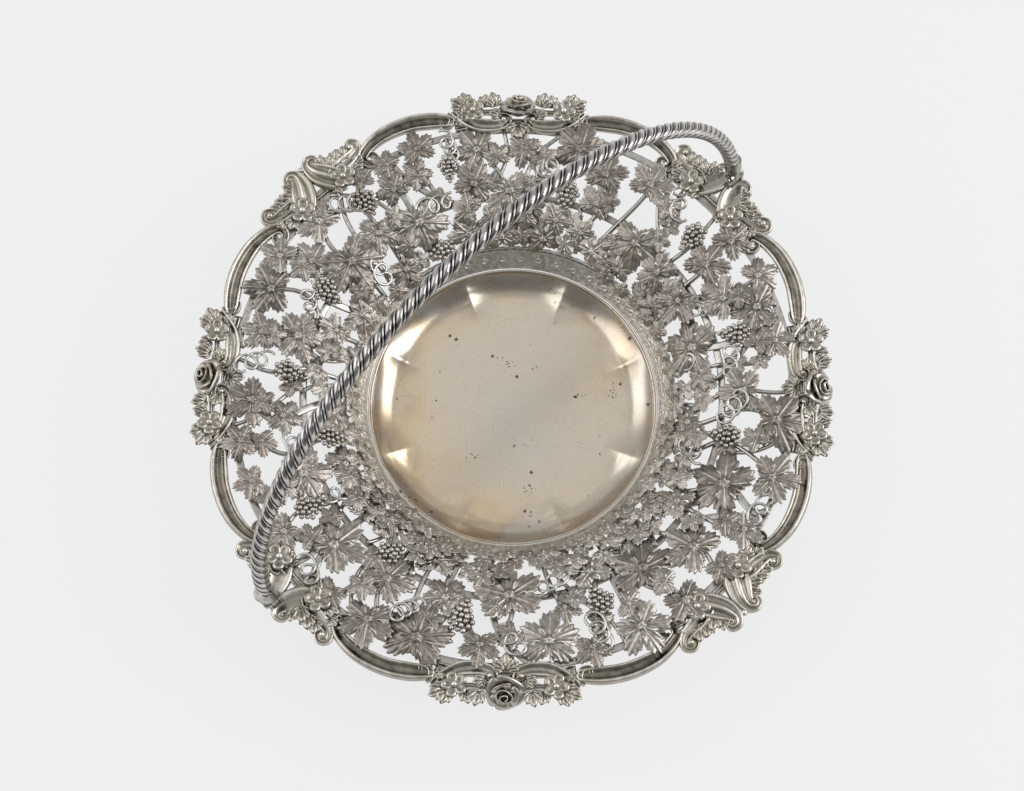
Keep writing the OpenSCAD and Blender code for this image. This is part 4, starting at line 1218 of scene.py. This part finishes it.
def place_flat(points, tone, spot, bearing, lift):
    """Moves a set of grids that lie about the origin to a spot on the rim."""
    local = points + np.array([spot[0], spot[1], 0.0])
    flat = to_wall(local.reshape(-1, 3), bearing, RAIL_IN_R, lift).reshape(local.shape)
    return many(flat, tone)


def pillow(length, width, dome, cup, leaf=False):
    """A thick petal: rings about its middle, the face half an ellipsoid with a dimple, the back nearly flat.
    It rises by cup times its distance from the flower's middle. A leaf's lobe has a pointed tip, and a
    groove along its middle in place of the dimple."""
    a = np.linspace(0, 2 * np.pi, 18, endpoint=False)[None]
    s = np.array([0, 0.25, 0.5, 0.7, 0.85, 0.95, 1.0, 0.7, 0.0])[:, None]
    back = np.arange(9)[:, None] > 6
    slim = 1 - (0.5 if leaf else 0.0) * np.clip(np.cos(a), 0, 1) ** 2
    x = length * (0.52 + 0.5 * s * np.cos(a))
    y = width * s * np.sin(a) * (1 + 0.2 * np.cos(a)) * slim
    across = s * np.abs(np.sin(a))
    hollow = np.exp(-(across / 0.22) ** 2) if leaf else np.exp(-(s / 0.5) ** 2) + 0 * a
    ridge = np.exp(-((across - 0.48) / 0.22) ** 2) if leaf else np.exp(-((s - 0.7) / 0.2) ** 2) + 0 * a
    top = dome * (np.sqrt(1 - 0.97 * s ** 2) - 0.55 * hollow)
    z = np.where(back, -0.3 * dome * (1 - s ** 2), top) + cup * x
    # A petal is painted lighter along its ridge and at its outer end and darker on its back: painted
    # highlight and painted shade.
    tone = np.where(back, 0.2, 0.32 + 0.34 * ridge + 0.06 * np.cos(a) * s)
    return np.stack([x, y, z], -1), np.clip(tone, 0, 1)


def ring_of(petal, count, start):
    """Copies of a petal turned evenly about the flower's middle."""
    return turn_flat(petal[None], (start + 2 * np.pi * np.arange(count) / count)[:, None, None])


print("a petal has", pillow(1, 1, 1, 0)[1].size, "points")

# %% Flowers, balls and cast leaves
LOBE_TURNS = np.array([-1.05, 1.05, -0.55, 0.55, 0.0])[:, None, None]
LOBE_SIZES = np.array([0.62, 0.62, 0.84, 0.84, 1.0])[:, None, None, None]


def flower_parts(spot, r, bearing, lift, start):
    """Five thick petals about a ball."""
    petal, tone = pillow(r, 0.43 * r, 0.30 * r, 0.20)
    ball = BALL[None] * 0.27 * r + [0, 0, 0.30 * r]
    # The ball in the middle is painted lighter on top and darker below: a painted highlight and painted
    # shade.
    return [place_flat(ring_of(petal, 5, start), tone, spot, bearing, lift),
            place_flat(ball, np.clip(0.55 + 0.45 * BALL[..., 2], 0, 1), spot, bearing, lift)]


def bead_part(spot, r, bearing, lift):
    """A ball on the rim."""
    # The bead is painted lighter on top and darker below: a painted highlight and painted shade.
    return place_flat(BALL[None] * r, np.clip(0.45 + 0.5 * BALL[..., 2], 0, 1), spot, bearing, lift)


def leaf_cast(spot, heading, length, bearing, lift):
    """A cast leaf: five pointed lobes fan from the stalk, the middle one longest."""
    lobe, tone = pillow(length, 0.30 * length, 0.20 * length, 0.20, leaf=True)
    fan = turn_flat(lobe[None] * LOBE_SIZES, heading + LOBE_TURNS)
    return place_flat(fan, tone, spot, bearing, lift)


print("a cast leaf has", len(LOBE_SIZES), "lobes")

# %% Roses
ROSE_TURNS = 1.9
ROSE_TILT = 0.80
SHEET_UP = np.array([0.0, 0.3, 0.6, 0.8, 0.94, 1.0, 0.94, 0.8, 0.6, 0.3, 0.0])[None]
SHEET_OUT = np.array([1.0, 1.0, 1.0, 0.9, 0.6, 0.0, -0.6, -0.9, -1.0, -1.0, -1.0])[None]


def bud_grid(r):
    """A bud: a thick sheet whose distance from the middle grows with its turn, as a spiral. Its rim sinks
    and flares as it goes, and both ends close to a point."""
    u = np.linspace(0, 1, 110)[:, None]
    turned = 2 * np.pi * ROSE_TURNS * u
    reach = r * (0.14 + 0.74 * u ** 0.85) * (1 + 0.09 * np.cos(2.5 * turned))
    out = reach * (0.86 + 0.10 * SHEET_UP + 0.26 * u * SHEET_UP ** 3) + 0.085 * r * SHEET_OUT
    sheet = np.stack([out * np.cos(turned), out * np.sin(turned), r * (1.15 - 0.45 * u) * SHEET_UP], -1)
    ends = [row.mean(1, keepdims=True) + 0 * row for row in (sheet[:1], sheet[-1:])]
    # The bud's upper rims are painted light and the inner face of its sheet darker: painted highlight and
    # painted shade.
    shade = np.clip(0.24 + 0.68 * SHEET_UP ** 2 - 0.10 * (SHEET_OUT < 0), 0, 1) + 0 * u
    return np.concatenate([ends[0], sheet, ends[1]]), np.concatenate([shade[:1], shade, shade[-1:]])


def rose_parts(spot, r, bearing, lift):
    """A rose: two rings of three broad petals about a bud, on a round cup, leaning outward."""
    outer, outer_tone = pillow(1.10 * r, 1.00 * r, 0.34 * r, 0.12)
    inner, inner_tone = pillow(0.82 * r, 0.66 * r, 0.26 * r, 0.42)
    bud, bud_tone = bud_grid(0.58 * r)
    cup = BALL * [0.72 * r, 0.72 * r, 0.5 * r]
    grids = [(ring_of(outer, 3, 0.5), outer_tone),
             (ring_of(inner, 3, 1.5) + [0, 0, 0.16 * r], inner_tone),
             (bud[None] + [0, 0, 0.30 * r], bud_tone),
             (cup[None], 0.35 + 0 * cup[..., 0])]
    c, s = np.cos(ROSE_TILT), np.sin(ROSE_TILT)
    parts = []
    for points, shade in grids:
        leaning = np.stack([points[..., 0] * c + points[..., 2] * s, points[..., 1],
                            points[..., 2] * c - points[..., 0] * s], -1)
        parts.append(place_flat(leaning, shade, spot, bearing, lift))
    return parts


print("a bud's sheet has", len(bud_grid(1.0)[0]), "rows")

# %% [markdown]
# ## Rose mounts
# Four cast mounts carry a rose between two flowers. Under each flower lies a broad scroll that ends in a
# volute near the middle, and small leaves grow round it. A Mirror modifier could make the second half, but
# the two halves meet in the rose, so one side is drawn and each part of it is made twice. A row of a line is
# [x, y, width], and a row of leaves is [x, y, heading, length, lift].

# %% Rose mounts
BASIN = [[6.5, 31.5, 2.8], [4.2, 28.8, 4.2], [1.6, 24.5, 5.6], [-0.6, 19.0, 6.4], [-1.0, 13.5, 6.4],
         [-0.6, 9.4, 5.6], [0.8, 6.0, 4.8], [3.2, 5.0, 4.0], [4.0, 7.2, 3.2], [2.2, 8.4, 2.6],
         [1.2, 7.2, 2.2]]
TWIG = [[6.0, 3.5, 3.0], [7.0, 8.5, 2.6], [6.4, 13.5, 2.4], [6.4, 19.0, 2.2]]
ROSE_LEAVES = [[8.8, 11.2, 0.25, 7.0, 0.6], [4.2, 8.6, 1.35, 5.6, 0.9], [7.8, 26.0, 1.05, 7.6, 0.4],
               [9.0, 24.4, 0.45, 6.6, 0.6], [8.8, 17.0, -0.25, 6.0, 0.3], [1.4, 26.2, 1.5, 5.0, 0.2],
               [-0.5, 0.0, np.pi, 7.0, 1.0], [-0.5, 1.0, 2.2, 5.6, 0.8]]
ROSE_RAIL_HALF = 13.3
ROSE_SPOT = (8.4, 0.0)
ROSE_R = 7.4
ROSE_LIFT = -0.6
BASIN_H = 4.8
TWIG_H = 3.6
for n in range(4):
    bearing = 90.0 * n
    parts = [rail_part(ROSE_RAIL_HALF, bearing)] + rose_parts(ROSE_SPOT, ROSE_R, bearing, ROSE_LIFT)
    for side in (-1, 1):
        parts.append(scroll_part(BASIN, CHANNEL, bearing, BASIN_H, side))
        parts.append(scroll_part(TWIG, FLUTED, bearing, TWIG_H, side))
        parts.append(bead_part((2.4, 6.8 * side), 1.3, bearing, 1.6))
        parts += flower_parts((6.6, 21.8 * side), 5.8, bearing, 0.9, 0.3 * side)
        for x, y, heading, length, lift in ROSE_LEAVES:
            parts.append(leaf_cast((x, y * side), heading * side, length, bearing, lift))
    make_piece(f"rose_mount_cast_{n + 1}", parts, cast_silver, [f"rose_mount_{n + 1}"])

# %% [markdown]
# ## Shell mounts
# The other four mounts rise to a double crest: two broad hollow sheets lean together over an open heart,
# part again and end in hooks. From their feet a wing runs along the rim to a knob, with small leaves outside
# it and a flower inside. A sculpted shell would be one closed lump, so the sheets are wide scrolls. Two of
# the mounts carry the hinges, and are lower there to let the handle swing.

# %% Shell mounts
WING = [[2.6, 8.5, 6.4], [4.0, 12.5, 7.6], [4.6, 17.0, 7.4], [4.8, 21.5, 6.4], [5.8, 26.2, 5.0],
        [8.6, 28.4, 4.0], [11.0, 26.4, 3.4], [10.0, 23.8, 2.8], [8.2, 24.6, 2.4], [8.4, 26.0, 2.0]]
PILLAR = [[-2.6, 11.4, 7.0], [1.0, 9.8, 10.2], [5.0, 7.4, 11.4], [9.0, 5.2, 10.2], [12.4, 4.1, 8.0],
          [15.2, 4.0, 5.8], [17.2, 5.8, 4.2], [16.4, 8.2, 3.4], [14.4, 8.2, 2.8], [14.0, 6.8, 2.2]]
SHELL_LEAVES = [[7.4, 10.0, 0.95, 7.4, 0.4], [7.4, 14.4, 0.80, 7.0, 0.3], [7.0, 18.6, 0.75, 6.2, 0.2],
                [11.0, 9.0, 0.60, 5.2, 0.2], [-0.6, 17.5, 1.9, 6.4, 0.8], [-1.0, 7.5, 2.7, 6.0, 0.8],
                [1.6, 22.0, 1.5, 5.0, 0.4]]
SHELL_RAIL_HALF = 11.2
for n in range(4):
    bearing = 45.0 + 90.0 * n
    hinged = n % 2 == 0
    wing_h, pillar_h, crest = (3.6, 3.2, CHANNEL) if hinged else (4.8, 6.0, FLUTED)
    parts = [rail_part(SHELL_RAIL_HALF, bearing)]
    if not hinged:
        parts.append(bead_part((15.8, 0.0), 1.5, bearing, 0.6))
    for side in (-1, 1):
        parts.append(scroll_part(WING, CHANNEL, bearing, wing_h, side))
        parts.append(scroll_part(PILLAR, crest, bearing, pillar_h, side))
        parts.append(bead_part((8.8, 25.4 * side), 1.6, bearing, 0.4))
        parts += flower_parts((-0.2, 12.8 * side), 6.2, bearing, 1.6, 0.5 * side)
        for x, y, heading, length, lift in SHELL_LEAVES:
            parts.append(leaf_cast((x, y * side), heading * side, length, bearing, lift))
    make_piece(f"shell_mount_cast_{n + 1}", parts, cast_silver, [f"shell_mount_{n + 1}"])

# %% [markdown]
# ## The handle
# Three round strands are laid into a rope, with a thin wire in each groove. Along a Blender curve an Array
# of one twist would stretch where the curve bends. So each strand is a path of its own: the rope bends to
# half an ellipse that stands on the hinge line, and a strand circles its middle once in every pitch. The
# rope was twisted from its two ends, so the pitch shrinks with the distance from the top.

# %% Line of the handle
HINGE_R = 143.5
HINGE_Z = 62.804
HANDLE_H = 112.0
HANDLE_LEAN = np.radians(12.0)
FERRULE_TOP = 11.8


def bail_points(local):
    """From the bail's own frame (x along the hinge line, z up the bail) to the basket's."""
    c, s, h = np.cos(HANDLE_LEAN), np.sin(HANDLE_LEAN), np.sqrt(0.5)
    x, y, z = local[..., 0], local[..., 1] * c + local[..., 2] * s, local[..., 2] * c - local[..., 1] * s
    return np.stack([(x - y) * h, (x + y) * h, z + HINGE_Z], -1)


low = np.arcsin(FERRULE_TOP / HANDLE_H)
fine = np.linspace(low, np.pi - low, 6000)
bow = np.stack([HINGE_R * np.cos(fine), 0 * fine, HANDLE_H * np.sin(fine)], -1)
run = np.concatenate([[0], np.cumsum(np.linalg.norm(np.diff(bow, axis=0), axis=1))])
steps = np.linspace(0, run[-1], 620)
bow = np.stack([np.interp(steps, run, bow[:, i]) for i in range(3)], -1)
along = unit(np.gradient(bow, axis=0))
level = np.broadcast_to([0.0, 1.0, 0.0], bow.shape)
outward = np.cross(along, level)
print("the rope is", run[-1].round(), "mm long")

# %% Rope handle
ROPE_PITCH = 19.0
ROPE_END_PITCH = 12.5
from_top = np.abs(2 * steps / steps[-1] - 1)
pitch = ROPE_PITCH + (ROPE_END_PITCH - ROPE_PITCH) * from_top ** 2
laid = np.concatenate([[0], np.cumsum(np.diff(steps) / pitch[1:])])


def strand(start, from_middle, thickness, shade):
    """One strand: a circle of it is carried along a helix about the bail's line."""
    lay = start - 2 * np.pi * laid
    off = np.cos(lay)[:, None] * level + np.sin(lay)[:, None] * outward
    path = bow + from_middle * off
    # A strand is painted bright on its crest and nearly black where it turns into the grooves between
    # strands: painted highlight and painted shade.
    tone = np.clip(shade + 0.80 * ROUND[:, 1], 0.0, 1)
    points, quads, tones = sweep(path, off, ROUND, thickness, thickness, tone)
    return bail_points(points), quads, tones


parts = [strand(2 * np.pi * k / 3, 2.06, 1.50, 0.04) for k in range(3)]
parts += [strand(2 * np.pi * (k + 0.5) / 3, 2.62, 0.46, 0.06) for k in range(3)]
make_piece("handle_rope_laid", parts, rope_silver, ["handle_rope"], "handle")

# %% [markdown]
# ## Hinges
# A pin through two lugs and the eye of the handle makes each hinge. These are plain turned and filed pieces,
# and their CAD solids already have the right shape. New meshes could replace them, but the pieces have to
# fit each other closely, so the solids stay and only get their finish.

# %% Hinges
HINGE_NODES = [f"{name}_{n}" for name in ("hinge_bracket", "hinge_pin", "handle_eye") for n in (1, 2)]
for name in HINGE_NODES:
    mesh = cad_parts[name].data
    mesh.materials.clear()
    mesh.materials.append(hinge_silver)
print("finished", len(HINGE_NODES), "hinge nodes")
